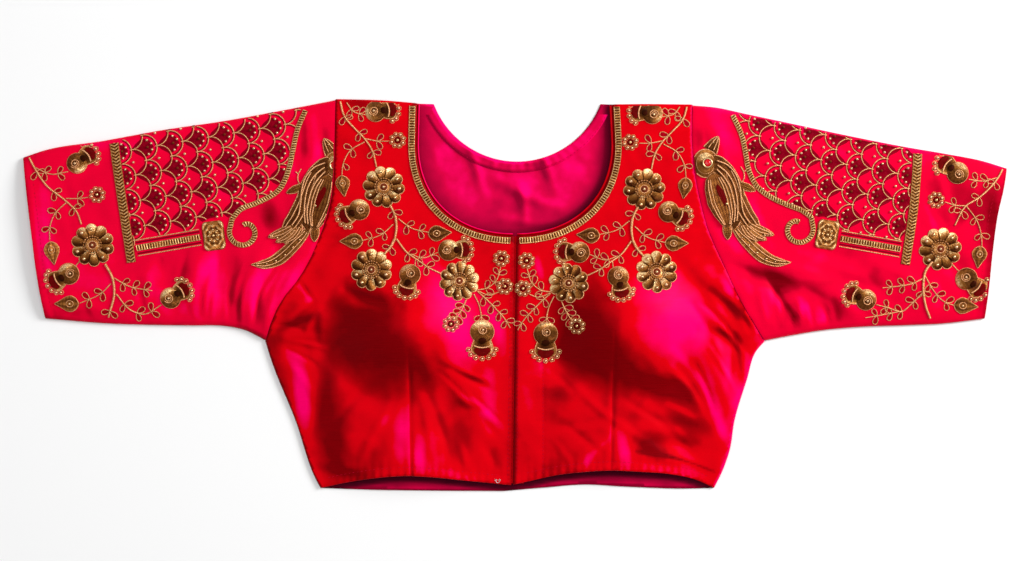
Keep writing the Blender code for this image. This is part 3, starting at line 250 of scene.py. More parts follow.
# The framed panel of each sleeve: its braids, its square in degrees of turn, and where its net of scales lies
Sleeve = namedtuple("Sleeve", "band bar square square_turn border scroll scale_start scale_along scale_down")
SLEEVES = {
    "right": Sleeve(
        band=[(-380.0, 144.0), (-371.4, 88.0), (-362.9, 31.0)],
        bar=[(-357.8, 44.4), (-297.6, 54.8)],
        square=(-284.9, 56.2), square_turn=7.0,
        border=[(-198.6, 175.0), (-205.2, 158.7), (-210.3, 136.4), (-213.8, 119.7), (-223.2, 99.6),
                (-243.2, 87.6), (-260.3, 80.4), (-267.6, 72.0)],
        scroll=(-257.2, 60.0), scale_start=(-288.2, 137.6),
        scale_along=(-24.3, -4.0), scale_down=(4.4, -23.9),
    ),
    "left": Sleeve(
        band=[(381.6, 134.0), (377.4, 86.0), (369.2, 29.0)],
        bar=[(364.4, 43.4), (308.0, 53.4)],
        square=(295.3, 57.2), square_turn=-9.0,
        border=[(206.4, 170.4), (214.7, 150.8), (218.3, 133.3), (221.2, 117.8), (229.0, 102.6),
                (242.5, 92.4), (259.0, 84.8), (272.6, 79.4), (280.2, 73.4)],
        scroll=(269.0, 62.6), scale_start=(291.9, 139.9),
        scale_along=(24.2, -4.3), scale_down=(-4.5, -24.0),
    ),
}
BAND_WIDTH = 8.8
BAR_WIDTH = 6.0
BAR_RAIL = 7.4  # how far from the bar's middle the threads beside it lie
BAR_SHADE_LINE = 5.2  # and the dark silk lines laid as painted shade between them and the bar
BORDER_WIDTH = 5.0
SQUARE_SIZE = (20.6, 27.6)
SCROLL_RADII = (12.9, 6.4)
SCROLL_TURNS = (166.0, 448.0)
SCROLL_CURL = 3.5
SCALE_RADIUS = 12.3

# Padded motifs: kind, middle, length or width across, and turn in degrees from +X. light is the strength of
# the painted light on its stitches, and the direction in degrees it is painted from
Motif = namedtuple("Motif", "kind x y size turn light")
FRONT_MOTIFS = (
    Motif("flower", -124.2, 102.2, 39, 12, (0.8, 100)), Motif("flower", -135.6, 24.0, 39, 0, (0.8, 50)),
    Motif("flower", -52.6, 13.4, 37, 30, (1.0, 20)), Motif("bud", -124.6, 175.0, 34, 8, (0.7, 200)),
    Motif("bud", -154.2, 77.6, 34, 205, (0.8, 80)), Motif("bud", -55.2, 42.8, 34, 2, (0.95, 60)),
    Motif("bud", -100.6, 12.0, 34, 258, (0.7, 120)), Motif("bud", -31.0, -43.4, 39, 270, (1.0, 90)),
    Motif("leaf", -162.6, 103.0, 20, 278, (0.6, 0)), Motif("leaf", -155.0, 51.0, 22, 180, (0.8, 0)),
    Motif("leaf", -71.0, 58.6, 22, 4, (0.5, 0)),
)
FRONT_SHIFT = (-2.0, -2.0)
LEFT_LIGHTS = (0.55, 0.95, 0.7, 0.6, 0.7, 0.7, 0.75, 0.6, 0.6, 0.8, 0.5)
SLEEVE_MOTIFS = {
    "right": (
        Motif("flower", -399.4, 47.3, 40, 5, (0.68, 90)), Motif("bud", -408.6, 129.6, 34, 38, (0.75, 300)),
        Motif("bud", -429.0, 16.2, 35, 210, (0.8, 120)), Motif("bud", -319.6, 1.4, 34, 33, (0.85, 120)),
        Motif("leaf", -437.5, 39.6, 22, 280, (0.9, 0)), Motif("leaf", -424.6, -8.2, 23, 180, (0.8, 0)),
    ),
    "left": (
        Motif("flower", 402.2, 43.6, 40, 25, (0.72, 100)), Motif("bud", 412.6, 120.6, 36, 143, (0.7, 60)),
        Motif("bud", 433.4, 10.2, 36, 320, (0.6, 200)), Motif("bud", 325.0, -1.6, 34, 158, (0.7, 60)),
        Motif("leaf", 438.9, 35.8, 21, 262, (0.7, 0)), Motif("leaf", 427.2, -10.3, 23, 355, (0.6, 0)),
    ),
}
PETALS = 10
PETAL_START = 0.3  # share of the flower's radius
# Long shapes: the half width, as a share of the greatest one, at shares of the length
LEAF_PROFILE = ((0.0, 0.0), (0.04, 0.36), (0.12, 0.7), (0.3, 1.0), (0.5, 0.88), (0.75, 0.42), (0.92, 0.14),
                (1.0, 0.0))
FEATHER_PROFILE = ((0.0, 0.0), (0.03, 0.34), (0.1, 0.64), (0.25, 0.9), (0.5, 1.0), (0.75, 0.76),
                   (0.92, 0.38), (1.0, 0.0))
TAIL_PROFILE = ((0.0, 0.3), (0.3, 0.9), (0.6, 1.0), (0.85, 0.62), (1.0, 0.0))
BROAD_PROFILE = ((0.0, 0.4), (0.2, 0.78), (0.4, 0.88), (0.65, 1.0), (0.86, 0.95), (0.96, 0.6), (1.0, 0.0))
CREST_PROFILE = ((0.0, 1.0), (0.25, 0.86), (0.6, 0.62), (0.85, 0.34), (1.0, 0.04))

# The parrot on the left sleeve. The right one is its mirror, nearer to the armhole, whose seam hides half of
# its head
Feather = namedtuple("Feather", "line profile half_width lift ribs light threads")
PARROT = (
    Feather([(205, 68), (212, 58), (219.4, 50.6), (227.6, 42.4), (236.4, 35.6), (247, 31.4), (260.6, 30.8)],
            TAIL_PROFILE, 5.9, 0.4, 2.5, 0.5, (0.42,)),
    Feather([(199, 124), (206, 106), (211.4, 89), (217.4, 76), (223.5, 67.1), (230.5, 60.5)],
            BROAD_PROFILE, 8.4, 0.5, 2.5, 0.22, (0.5,)),
    Feather([(220, 68), (230, 62), (244.8, 56.9)], FEATHER_PROFILE, 4.0, 1.0, 1.5, 0.5, (0.4,)),
    Feather([(218, 66), (227, 57.5), (237.6, 52.2)], FEATHER_PROFILE, 3.8, 1.4, 1.5, 0.6, (0.4,)),
    Feather([(213, 68), (220, 57), (229.6, 51.0)], FEATHER_PROFILE, 3.2, 1.0, 1.5, 0.45, (0.4,)),
    Feather([(199.4, 68), (200.8, 60), (201.2, 52.6)], FEATHER_PROFILE, 4.0, 0.5, 1.5, 0.4, ()),
    Feather([(186, 132), (196, 119), (205, 101), (209, 80), (206.6, 61)],
            FEATHER_PROFILE, 10.4, 0.9, 4.5, 0.2, ()),
    Feather([(187, 115.5), (189.4, 106.5), (192, 98), (194.8, 88), (198.4, 77), (201.4, 63)],
            FEATHER_PROFILE, 12.4, 1.9, 3.5, 0.28, (0.5, 0.74)),
    Feather([(184.6, 137.0), (188.2, 143.2), (192.2, 150.0)], CREST_PROFILE, 7.0, 0.5, 1.5, 0.22, (0.4,)),
)
# Its head: the middle, and half of its size across and along. Its beads: the middle and the radius
PARROT_HEAD = (180.2, 124.6, 11.6, 13.4)
PARROT_EYE = (181.9, 125.0)
PARROT_CORE = [(190.4, 104.5), (194.6, 96), (199.6, 83)]
PARROT_LINES = [
    [(190.8, 127.2), (201.4, 122.4), (208.8, 113.8), (212.7, 101.3), (213.9, 88), (216.2, 77), (222, 68)],
    [(191.4, 122.8), (199.6, 116.2), (205.8, 106.6), (209.2, 94.8), (210.4, 80.4), (209.6, 70)],
    [(190.6, 119.0), (197.4, 111.8), (202.6, 103.2), (205.8, 93), (207.8, 80), (207, 69)],
]
PARROT_BEADS = ((187.6, 144.4, 1.0), (199.8, 86.4, 1.3), (236.0, 56.4, 1.1), (241.0, 58.2, 1.0),
                (214.6, 54.4, 1.0), (221.0, 47.2, 1.1), (228.6, 40.0, 1.2), (237.4, 34.4, 1.1),
                (246.0, 31.6, 0.9))
RIGHT_PARROT_SHIFT = (11.4, -2.0)
PARROT_PERCH = [(209, 106.5), (217, 103), (227.6, 98.6)]
PARROT_BRIDGES = [[(213.6, 121.4), (216.2, 116.6), (216.8, 111.4), (215, 107)],
                  [(216.2, 116.6), (219.0, 118.6)]]

# Stitched vines: thread radius, leaflet pairs, and the line. The left front mirrors the right one
Vine = namedtuple("Vine", "radius pairs line")
FRONT_VINES = (
    Vine(0.75, 3, [(-166.2, 185.6), (-161.1, 168.6), (-150, 156), (-142.5, 148.2), (-134.9, 136.4),
                   (-131, 121)]),
    Vine(0.55, 2, [(-159.6, 182.4), (-152.9, 173.8), (-140, 170.5)]),
    Vine(0.55, 1, [(-142.5, 148.2), (-129.2, 145.7), (-119.7, 145.7)]),
    Vine(0.55, 2, [(-142.5, 144.9), (-156.1, 136.4), (-162.8, 122.8), (-163.7, 112.7)]),
    Vine(0.95, 1, [(-118.4, 85.4), (-115.4, 80), (-113, 74)]),
    Vine(1.05, 0, [(-113, 74.4), (-112.1, 63.6), (-113.6, 53.2)]),
    Vine(1.1, 1, [(-113.6, 53.4), (-117.4, 46), (-123.6, 38.8)]),
    Vine(0.55, 2, [(-110.2, 72.2), (-98.4, 63.6), (-82, 59.4)]),
    Vine(0.55, 2, [(-115.3, 66.9), (-126, 57.5), (-145, 51.4)]),
    Vine(0.7, 2, [(-112.1, 53.2), (-101.7, 39.9), (-91.6, 32.9), (-81.7, 26.1), (-70, 20.4)]),
    Vine(0.5, 2, [(-98.8, 38.9), (-88, 35.2), (-72.5, 40.6)]),
    Vine(0.5, 0, [(-94, 33.6), (-94.6, 26.6)]),
    Vine(0.6, 3, [(-35.5, 5), (-27, 6.5), (-18, 13.5), (-13.4, 27)]),
    Vine(0.55, 0, [(-35.5, 4), (-23.8, 0), (-15.2, 3)]),
    Vine(0.6, 4, [(-35.5, 3.6), (-26, -5), (-17.1, -14), (-10, -22), (-4.6, -31)]),
    Vine(0.6, 0, [(-38.9, 0.9), (-34, -9.5), (-32.1, -18)]),
    Vine(0.6, 1, [(-32.3, -16), (-32, -20), (-31.8, -24)]),
    Vine(0.6, 3, [(-46, -4), (-49, -11), (-53, -18), (-58, -24)]),
)
SLEEVE_VINES = {
    "right": (
        Vine(0.75, 3, [(-462.5, 134), (-455.3, 121.1), (-443.6, 104.1), (-424.7, 88.9), (-414.6, 78.8),
                       (-410, 67)]),
        Vine(0.55, 2, [(-455.3, 121.1), (-438.3, 114.4), (-423, 116.8)]),
        Vine(0.55, 1, [(-424.7, 91.4), (-412.9, 91.4), (-404, 92.4)]),
        Vine(0.55, 2, [(-423.9, 88.1), (-435.1, 77), (-440, 63.6), (-440, 52)]),
        Vine(1.0, 0, [(-387.6, 29.4), (-380.7, 16.1), (-379, 2.4), (-384.1, -18.1)]),
        Vine(0.9, 1, [(-382, -11), (-383.6, -16), (-385, -21)]),
        Vine(0.6, 3, [(-379, 16.1), (-367.1, 9.1), (-343.3, 4.1)]),
        Vine(0.65, 3, [(-377.2, 0.9), (-363.8, -14.2), (-351.9, -18.1), (-335, -9.5)]),
        Vine(0.5, 2, [(-382.4, 10.8), (-390.8, 2.4), (-412, -7.8)]),
        Vine(0.5, 0, [(-411, 33), (-417, 26)]),
    ),
    "left": (
        Vine(0.7, 3, [(463.5, 122), (458, 112), (449, 101), (438, 91.5), (426.7, 84.5), (416, 66)]),
        Vine(0.55, 2, [(456, 111), (444, 108), (429.5, 109.5)]),
        Vine(0.55, 1, [(426.7, 84.5), (416, 85), (407, 88)]),
        Vine(0.55, 2, [(426.7, 84.5), (437.1, 70), (440.9, 57.2), (441.6, 46)]),
        Vine(1.0, 1, [(394.6, 31.6), (388.1, 22.3), (386.4, 13.7), (386.4, 1.7), (389.1, -11.4),
                      (393.5, -22)]),
        Vine(0.55, 3, [(388, 18), (396.2, 3.9), (406, -6), (416, -9.8)]),
        Vine(0.6, 3, [(386.4, 16), (375.5, 10.9), (363.8, 8.6), (347.8, 6.8)]),
        Vine(0.6, 3, [(386.4, 3), (375.5, -8.1), (366, -15.6), (354.4, -12.4), (342, -9)]),
        Vine(0.5, 2, [(368.9, -14.6), (352, -18), (332, -21.5)]),
        Vine(0.5, 0, [(414, 29), (420.5, 22)]),
    ),
}
FRONT_BEAD_FLOWERS = ((-111.1, 146.6), (-12.9, 34.6), (-9.6, 8.3), (-60.2, -27.0))
SLEEVE_BEAD_FLOWERS = {"right": ((-395.2, 95.0),), "left": ((398.4, 89.9),)}
BEAD_FLOWER_RADIUS = 5.7
LEAFLET_LENGTH = 7.6
LEAFLET_SPREAD = 58.0  # degrees from the stem

RED = (0.66, 0.0, 0.004)
CRIMSON = (0.79, 0.0, 0.029)
# the lining's painted highlight
LINING_PAINTED_HIGHLIGHT = (0.92, 0.0, 0.13)
BEADS = {  # colour, roughness and metallic
    "pearl": ((0.94, 0.62, 0.34), 0.2, 0.75),
    "sequin": ((0.96, 0.67, 0.32), 0.16, 0.92),
    "eye_stone": ((0.70, 0.0, 0.006), 0.12, 0.0),
    "steel": ((0.62, 0.5, 0.5), 0.3, 0.9),
}
SILKS = {
    "copper": (0.17, 0.028, 0.008),
    # dark silk of the beaded scales, and the painted shade lines beside the bar and inside each scale's arc
    "dark_silk_and_painted_shade": (0.27, 0.0, 0.010),
    "leaf_silk": (0.42, 0.0, 0.008),
    "dark_core": (0.022, 0.005, 0.001),
    "throat_silk": (0.14, 0.002, 0.002),
    "stitch": (0.66, 0.004, 0.03),
    "lining_stitch": (0.55, 0.0, 0.045),
}


def scene_settings():
    return bpy.context.scene.choli


# Curves in plan


def lengths_along(points):
    """How far along a line each of its points lies."""
    return np.concatenate([[0.0], np.cumsum(np.linalg.norm(np.diff(points, axis=0), axis=1))])


def read_line(at, along, line):
    """The points of a line at some values of along, which its own points have too."""
    return np.stack([np.interp(at, along, line[:, k]) for k in range(line.shape[1])], axis=-1)


def full_turn(count):
    """Evenly spaced angles round a full turn."""
    return 2 * math.pi * np.arange(count) / count


def even(points, step):
    """Points about step apart along a line of straight runs, its ends kept."""
    points = np.array(points, float)
    along = lengths_along(points)
    count = max(1, round(along[-1] / step))
    return read_line(np.linspace(0.0, along[-1], count + 1), along, points)


def smooth(points, step):
    """Points about step apart on a smooth curve through the given ones."""
    knots = np.array(points, float)
    along = lengths_along(knots)
    slopes = np.gradient(knots, along, axis=0)
    curve = []
    for i in range(len(knots) - 1):
        span = along[i + 1] - along[i]
        t = np.linspace(0.0, 1.0, 12, endpoint=False)[:, None]
        curve.append(
            (2 * t**3 - 3 * t**2 + 1) * knots[i] + (t**3 - 2 * t**2 + t) * span * slopes[i]
            + (3 * t**2 - 2 * t**3) * knots[i + 1] + (t**3 - t**2) * span * slopes[i + 1]
        )
    return even(np.vstack([*curve, knots[-1:]]), step)


def normals_of(line):
    """The unit vectors a quarter turn to the left of a line's heading."""
    headings = np.gradient(line, axis=0)
    headings = headings / np.linalg.norm(headings, axis=1)[:, None]
    return np.stack([-headings[:, 1], headings[:, 0]], axis=1)


RING_POINTS = 17
FOLD_SHARE = 0.01
RING_SHARES = np.concatenate([[0.0], np.linspace(FOLD_SHARE, 1.0 - FOLD_SHARE, RING_POINTS), [1.0]])


def armhole(side, outward):
    """A side's armhole seam, moved towards the sleeve by outward."""
    line = smooth(LINES[side]["armhole"], 1.0)
    line = read_line(RING_SHARES, np.linspace(0.0, 1.0, len(line)), line)
    return line + SIDES[side] * outward * normals_of(line)


def front_neck(side, outward, step):
    """A side's front neck edge, from the opening to the shoulder."""
    half_width, depth = FRONT_NECK[0] + outward, FRONT_NECK[1] + outward
    power = 2.0 / NECK_SQUARENESS
    turn = np.linspace(0.0, math.pi / 2, 90)
    x = half_width * np.sin(turn) ** power
    y = NECK_CENTRE_Y - depth * np.maximum(np.cos(turn), 0.0) ** power
    curve = np.stack([SIDES[side] * x, y], axis=1)[x > OPENING_GAP / 2]
    shoulder = LINES[side]["shoulder"][0]
    return even(np.vstack([curve, [(shoulder[0] + SIDES[side] * outward, shoulder[1])]]), step)


def opening_x(y):
    """Where the front opening, which leans a little, lies at some y."""
    return OPENING_TOP_X + OPENING_LEAN * (y - NECK_CENTRE_Y + FRONT_NECK[1])


def back_neck(outward, step):
    radius = BACK_NECK_RADIUS + outward
    half = math.acos((BACK_NECK_CENTRE[1] - BACK_NECK_TOP) / radius)
    turn = np.linspace(-half, half, 90)
    across, down = radius * np.sin(turn), radius * np.cos(turn)
    return even(np.stack([BACK_NECK_CENTRE[0] + across, BACK_NECK_CENTRE[1] - down], axis=1), step)


def gaps(x, y, lines):
    """The distance from each point to the nearest of some lines."""
    starts = np.vstack([line[:-1] for line in lines])
    ends = np.vstack([line[1:] for line in lines])
    nearest = np.full(len(x), np.inf)
    for (ax, ay), (bx, by) in zip(starts, ends):
        run_x, run_y = bx - ax, by - ay
        share = np.clip(((x - ax) * run_x + (y - ay) * run_y) / (run_x**2 + run_y**2), 0.0, 1.0)
        nearest = np.minimum(nearest, (x - ax - share * run_x) ** 2 + (y - ay - share * run_y) ** 2)
    return np.sqrt(nearest)


def inside(x, y, outline):
    """Which points lie in a closed outline."""
    within = np.zeros(len(x), bool)
    for (ax, ay), (bx, by) in zip(outline, np.roll(outline, -1, axis=0)):
        if ay != by:
            within ^= ((ay > y) != (by > y)) & (x < ax + (y - ay) / (by - ay) * (bx - ax))
    return within


# The cloth's heights


CLOSED = {side: [smooth(LINES[side][name], 9.0) for name in CLOSED_LINES] for side in SIDES}
HEM = {side: [smooth(LINES[side]["front_hem"], 7.0)] for side in SIDES}
NECK = {side: [front_neck(side, 0.0, 6.0)] for side in SIDES}
ARMHOLE = {side: [smooth(LINES[side]["armhole"], 8.0)] for side in SIDES}
CUFF = {side: [smooth(LINES[side]["cuff"], 12.0)] for side in SIDES}


def bell(distance, width):
    """1 at no distance, and falling off smoothly over a width."""
    return np.exp(-((distance / width) ** 2))


def folds(x, y, table=FOLDS):
    """The sum of all the folds, or of the painted light patches, in a table, each bent a little so that none
    is straight.
    """
    x = x + 2.6 * np.sin(y / 17.0 + x / 61.0)
    y = y + 2.6 * np.sin(x / 21.0 + 1.7 - y / 73.0)
    total = np.zeros(len(x))
    for x0, y0, x1, y1, width, height in table:
        run_x, run_y = x1 - x0, y1 - y0
        share = np.clip(((x - x0) * run_x + (y - y0) * run_y) / (run_x**2 + run_y**2), 0.0, 1.0)
        away = np.hypot(x - x0 - share * run_x, y - y0 - share * run_y)
        total += height * (1.0 - 0.55 * (2.0 * share - 1.0) ** 2) * bell(away, width)
    return total


def ripples(x, y):
    """The faint waviness of satin that lies over padding."""
    slow = np.sin(x / 13.7 + 1.9 * np.sin(y / 37.0)) * np.sin(y / 19.3 + 1.3 * np.sin(x / 29.0) + 0.6)
    quick = np.sin((x + 0.7 * y) / 8.3 + 2.2 * np.sin(y / 23.0)) * np.sin((y - 0.4 * x) / 14.1 + 0.4)
    fine = np.sin((x - 0.3 * y) / 3.9 + 2.6 * np.sin(y / 11.0))
    fine = fine * np.sin((y + 0.5 * x) / 7.7 + 1.6 * np.sin(x / 17.0))
    patchy = 0.5 + 0.5 * np.sin(x / 27.0 + 1.4 * np.sin(y / 21.0)) * np.sin(y / 33.0 + 0.9)
    return 0.36 * slow + 0.2 * quick + 0.2 * patchy * fine


def puckers(along, away, pitch, depth, reach):
    """Small gathers that stitching pulls into the cloth beside it."""
    wave = np.sin(2 * math.pi * along / pitch + 1.4 * np.sin(along / (1.9 * pitch)))
    return depth * wave * np.exp(-away / reach)


def front_height(side, x, y):
    """The underside of a front over the table."""
    closed, hem = gaps(x, y, CLOSED[side]), gaps(x, y, HEM[side])
    neck, arm = gaps(x, y, NECK[side]), gaps(x, y, ARMHOLE[side])
    rise = FRONT_PUFF * (1.0 - np.exp(-closed / PUFF_REACH))
    near_hem = bell(hem, HEM_FADE)
    reach = np.minimum(np.abs(x) / HALF_HEM, 1.0)
    arch = np.sin(math.pi * np.clip((np.abs(x) - 8.0) / (HALF_HEM - 8.0), 0.0, 1.0)) ** 2
    lift = HEM_CENTRE_LIFT * (1.0 - reach**2) + HEM_ARCH_LIFT * arch
    rise = (1.0 - near_hem) * rise + near_hem * lift * (1.0 - np.exp(-closed / (0.3 * PUFF_REACH)))
    settled = np.clip(rise / 4.0, 0.0, 1.0)
    for cup in CUPS:
        spread = ((x - cup.x) / cup.half_width) ** 2 + ((y - cup.y) / cup.half_length) ** 2
        rise = rise + cup.height * np.maximum(1.0 - spread / CUP_SPREAD, 0.0) ** 1.9
    depth = scene_settings().wrinkles
    rise = rise + depth * settled * (folds(x, y) + ripples(x, y))
    dart = DARTS[side]
    share = np.clip((dart.top_y - y) / (dart.top_y - dart.foot_y), 0.0, 1.0)
    middle = np.abs(x - dart.top_x - share * (dart.foot_x - dart.top_x))
    sewn = np.minimum(1.0, 5.0 * share)
    rise = rise - sewn * (0.75 * bell(middle, 1.5) - puckers(y, middle, 13.0, 0.07, 5.0))
    rise = rise - 1.6 * bell(neck, 3.2) - 0.35 * bell(arm, 1.7) + puckers(y, arm, 8.0, 0.2, 6.0) * settled
    rise = rise - 0.35 * bell(hem - STITCH_INSET, 0.9) + puckers(x, hem, 7.0, 0.34, 7.0) * settled
    opening = np.abs(x - opening_x(y))
    rise = rise - 0.9 * bell(opening - OPENING_GAP / 2, 1.6) + puckers(y, opening, 11.0, 0.12, 5.0)
    if side == "left":
        seam_x, low_y, high_y = PLACKET_SEAM
        stitched = (y > low_y) & (y < high_y)
        away = np.abs(x - seam_x)
        rise = rise - stitched * (0.45 * bell(away, 0.9) - puckers(y, away, 8.0, 0.12, 4.0))
    return CLOTH + np.maximum(rise + SEAM_GAP, SEAM_GAP)


def sleeve_height(side, x, y):
    """The underside of a sleeve's upper layer over the table."""
    closed, arm, cuff = gaps(x, y, CLOSED[side]), gaps(x, y, ARMHOLE[side]), gaps(x, y, CUFF[side])
    rise = SLEEVE_PUFF * (1.0 - np.exp(-closed / PUFF_REACH))
    settled = np.clip(rise / 4.0, 0.0, 1.0)
    rise = rise + scene_settings().wrinkles * settled * (folds(x, y) + ripples(x, y))
    rise = rise - 0.3 * bell(arm, 1.5) + puckers(y, arm, 8.0, 0.2, 7.0) * settled
    rise = rise - 0.35 * bell(cuff - STITCH_INSET, 0.9) + puckers(y, cuff, 8.5, 0.22, 7.0) * settled
    return CLOTH + FOLD_GAP + np.maximum(rise, 0.0)


def back_height(x, y):
    """The underside of the back, which lies on the table with a little give between its creases."""
    seams = [line for side in SIDES for line in (*CLOSED[side], *ARMHOLE[side])]
    free = 1.0 - np.exp(-gaps(x, y, seams) / 30.0)
    give = np.maximum(ripples(x, y) + 0.35 * folds(x, y) - 0.1, 0.0)
    lining = np.maximum(folds(x, y), 0.0) * bell(np.hypot(x, y - 120.0), 90.0)
    return free * np.minimum(0.9 * give + 0.8 * lining, 2.4)


class Relief:
    """One layer of cloth as heights on a grid, read smoothly between the grid's points."""

    def __init__(self, height, low, high, step=1.5):
        self.low, self.step = np.array(low, float), step
        xs, ys = (np.arange(a, b + step, step) for a, b in zip(low, high))
        x, y = np.meshgrid(xs, ys)
        self.under = height(x.ravel(), y.ravel()).reshape(x.shape)
        down, across = np.gradient(self.under, step)
        self.upper = self.under + CLOTH * np.sqrt(1.0 + np.minimum(down**2 + across**2, 1.5))

    def read(self, grid, x, y):
        column = np.clip((np.asarray(x) - self.low[0]) / self.step, 0, grid.shape[1] - 1.001)
        row = np.clip((np.asarray(y) - self.low[1]) / self.step, 0, grid.shape[0] - 1.001)
        c, r = column.astype(int), row.astype(int)
        u, v = column - c, row - r
        return ((1 - u) * (1 - v) * grid[r, c] + u * (1 - v) * grid[r, c + 1]
                + (1 - u) * v * grid[r + 1, c] + u * v * grid[r + 1, c + 1])

    def top(self, x, y):
        return self.read(self.upper, x, y)

    def bottom(self, x, y):
        return self.read(self.under, x, y)


RELIEFS = {}


def relief(group, side=None):
    """The relief of a front, a sleeve or the back, made when first asked for."""
    key = group, side
    if key not in RELIEFS:
        if group == "back":
            RELIEFS[key] = Relief(back_height, (-240, -190), (240, 190))
        else:
            height = front_height if group == "front" else sleeve_height
            reach = (4, 242) if group == "front" else (164, 470)
            low, high = (-reach[1], -190), (reach[0] if group == "front" else -reach[0], 192)
            if side == "left":
                low, high = (-high[0], -190), (reach[1], 192)
            RELIEFS[key] = Relief(lambda x, y: height(side, x, y), low, high)
    return RELIEFS[key]


# Node materials


class Number:
    """A node socket that takes part in sums: each sum adds the node that works it out."""

    def __init__(self, finish, socket):
        self.finish, self.socket = finish, socket

    def sum(self, operation, first, second):
        return self.finish.node("ShaderNodeMath", {"operation": operation}, {0: first, 1: second})

    def __add__(self, other):
        return self.sum("ADD", self, other)

    __radd__ = __add__

    def __mul__(self, other):
        return self.sum("MULTIPLY", self, other)

    __rmul__ = __mul__

    def __sub__(self, other):
        return self.sum("SUBTRACT", self, other)

    def __rsub__(self, other):
        return self.sum("SUBTRACT", other, self)


class Finish:
    """One node material, built from sums and nodes."""

    def __init__(self, name, **constants):
        self.material = bpy.data.materials.new(name)
        self.material.use_nodes = True
        self.tree = self.material.node_tree
        self.shader = self.tree.nodes["Principled BSDF"]
        for socket, value in constants.items():
            self.shader.inputs[socket.replace("_", " ")].default_value = value

    def node(self, kind, settings=None, sockets=None, output=0):
        node = self.tree.nodes.new(kind)
        for key, value in (settings or {}).items():
            if key == "stops":
                ramp = node.color_ramp
                while len(ramp.elements) < len(value):
                    ramp.elements.new(0.5)
                for element, (position, colour) in zip(ramp.elements, value):
                    element.position, element.color = position, (*colour, 1.0)
            else:
                setattr(node, key, value)
        for key, value in (sockets or {}).items():
            if isinstance(value, Number):
                self.tree.links.new(value.socket, node.inputs[key])
            else:
                node.inputs[key].default_value = value
        return Number(self, node.outputs[output])

    def feed(self, **links):
        for socket, value in links.items():
            self.tree.links.new(value.socket, self.shader.inputs[socket.replace("_", " ")])

    def place(self, output="Object"):
        return self.node("ShaderNodeTexCoord", output=output)

    def noise(self, scale, detail=2.0, stretch=None):
        place = self.place()
        if stretch:
            place = self.node("ShaderNodeMapping", {}, {0: place, 3: stretch})
        return self.node("ShaderNodeTexNoise", {}, {0: place, "Scale": scale, "Detail": detail})

    def read(self, name):
        """A number that the mesh keeps for each of its points."""
        return self.node("ShaderNodeAttribute", {"attribute_name": name}, output="Fac")

    def mix(self, share, first, second, blend="MIX"):
        sockets = {0: share, 6: first, 7: second}
        return self.node("ShaderNodeMix", {"data_type": "RGBA", "blend_type": blend}, sockets, 2)

    def facing(self, direction):
        """How far the surface faces a direction."""
        sockets = {0: self.place("Normal"), 1: direction}
        return self.node("ShaderNodeVectorMath", {"operation": "DOT_PRODUCT"}, sockets, 1)

    def ramp(self, value, *stops):
        return self.node("ShaderNodeValToRGB", {"stops": stops}, {0: value})

    def strands(self, pitch):
        """A wave from 0 to 1 along the thread, of a given length."""
        return self.sine(self.read("thread") * (2 * math.pi / pitch)) * 0.5 + 0.5

    def sine(self, value):
        return self.node("ShaderNodeMath", {"operation": "SINE"}, {0: value})

    def clamp(self, value):
        return self.node("ShaderNodeClamp", {}, {0: value})

    def bump(self, height, distance, strength=1.0):
        return self.node("ShaderNodeBump", {}, {"Strength": strength, "Distance": distance, "Height": height})


def rgba(colour):
    return (*colour, 1.0)


def dimmed(colour, share):
    return tuple(share * c for c in colour)


def satin_finish(name, red, lean):
    """Satin with painted light in its colour: a hot pink highlight where the cloth faces the key light at the
    right, and painted dark shade where it faces away. lean shifts all of it to pink.
    """
    settings = scene_settings()
    pink, shade = tuple(settings.satin_painted_highlight), tuple(settings.satin_shade)
    finish = Finish(name, Specular_IOR_Level=0.16, Specular_Tint=(1.0, 0.03, 0.08, 1.0), Sheen_Weight=0.04,
                    Sheen_Roughness=0.35, Sheen_Tint=(1.0, 0.02, 0.1, 1.0))
    drift = finish.noise(9.0, 2.0) * 0.3 - 0.15 + finish.noise(38.0, 4.0) * 0.44 - 0.22
    # painted light: the level adds the painted light patches and how far the cloth faces the key light at the
    # right, and the painted shade in 'height' darkens it
    painted_patch_level = 0.0 if name == "satin_binding" else finish.read("thread")
    slope = finish.facing((0.97, 0.2, 0.0)) * 1.05
    level = (slope + drift + painted_patch_level + (0.47 + lean)) * finish.read("height")
    middle = tuple(0.5 * (a + b) for a, b in zip(red, pink))
    deep = tuple(0.42 * (a + b) for a, b in zip(red, shade))
    tone = finish.ramp(finish.clamp(level), (0.0, shade), (0.24, deep), (0.4, dimmed(red, 0.86)),
                       (0.6, red), (0.8, middle), (1.0, pink))
    slub = finish.noise(60.0, 3.0, (1.0, 26.0, 1.0))
    weave = finish.sine(finish.node("ShaderNodeSeparateXYZ", {}, {0: finish.place()}, 1) * 9000.0)
    finish.feed(
        Base_Color=finish.mix(slub * 0.3, tone, rgba(dimmed(red, 0.66))),
        Roughness=0.32 + slub * 0.16 + weave * 0.02,
        Normal=finish.bump(slub * 0.6 + weave * 0.12, 0.00006),
    )
    return finish.material


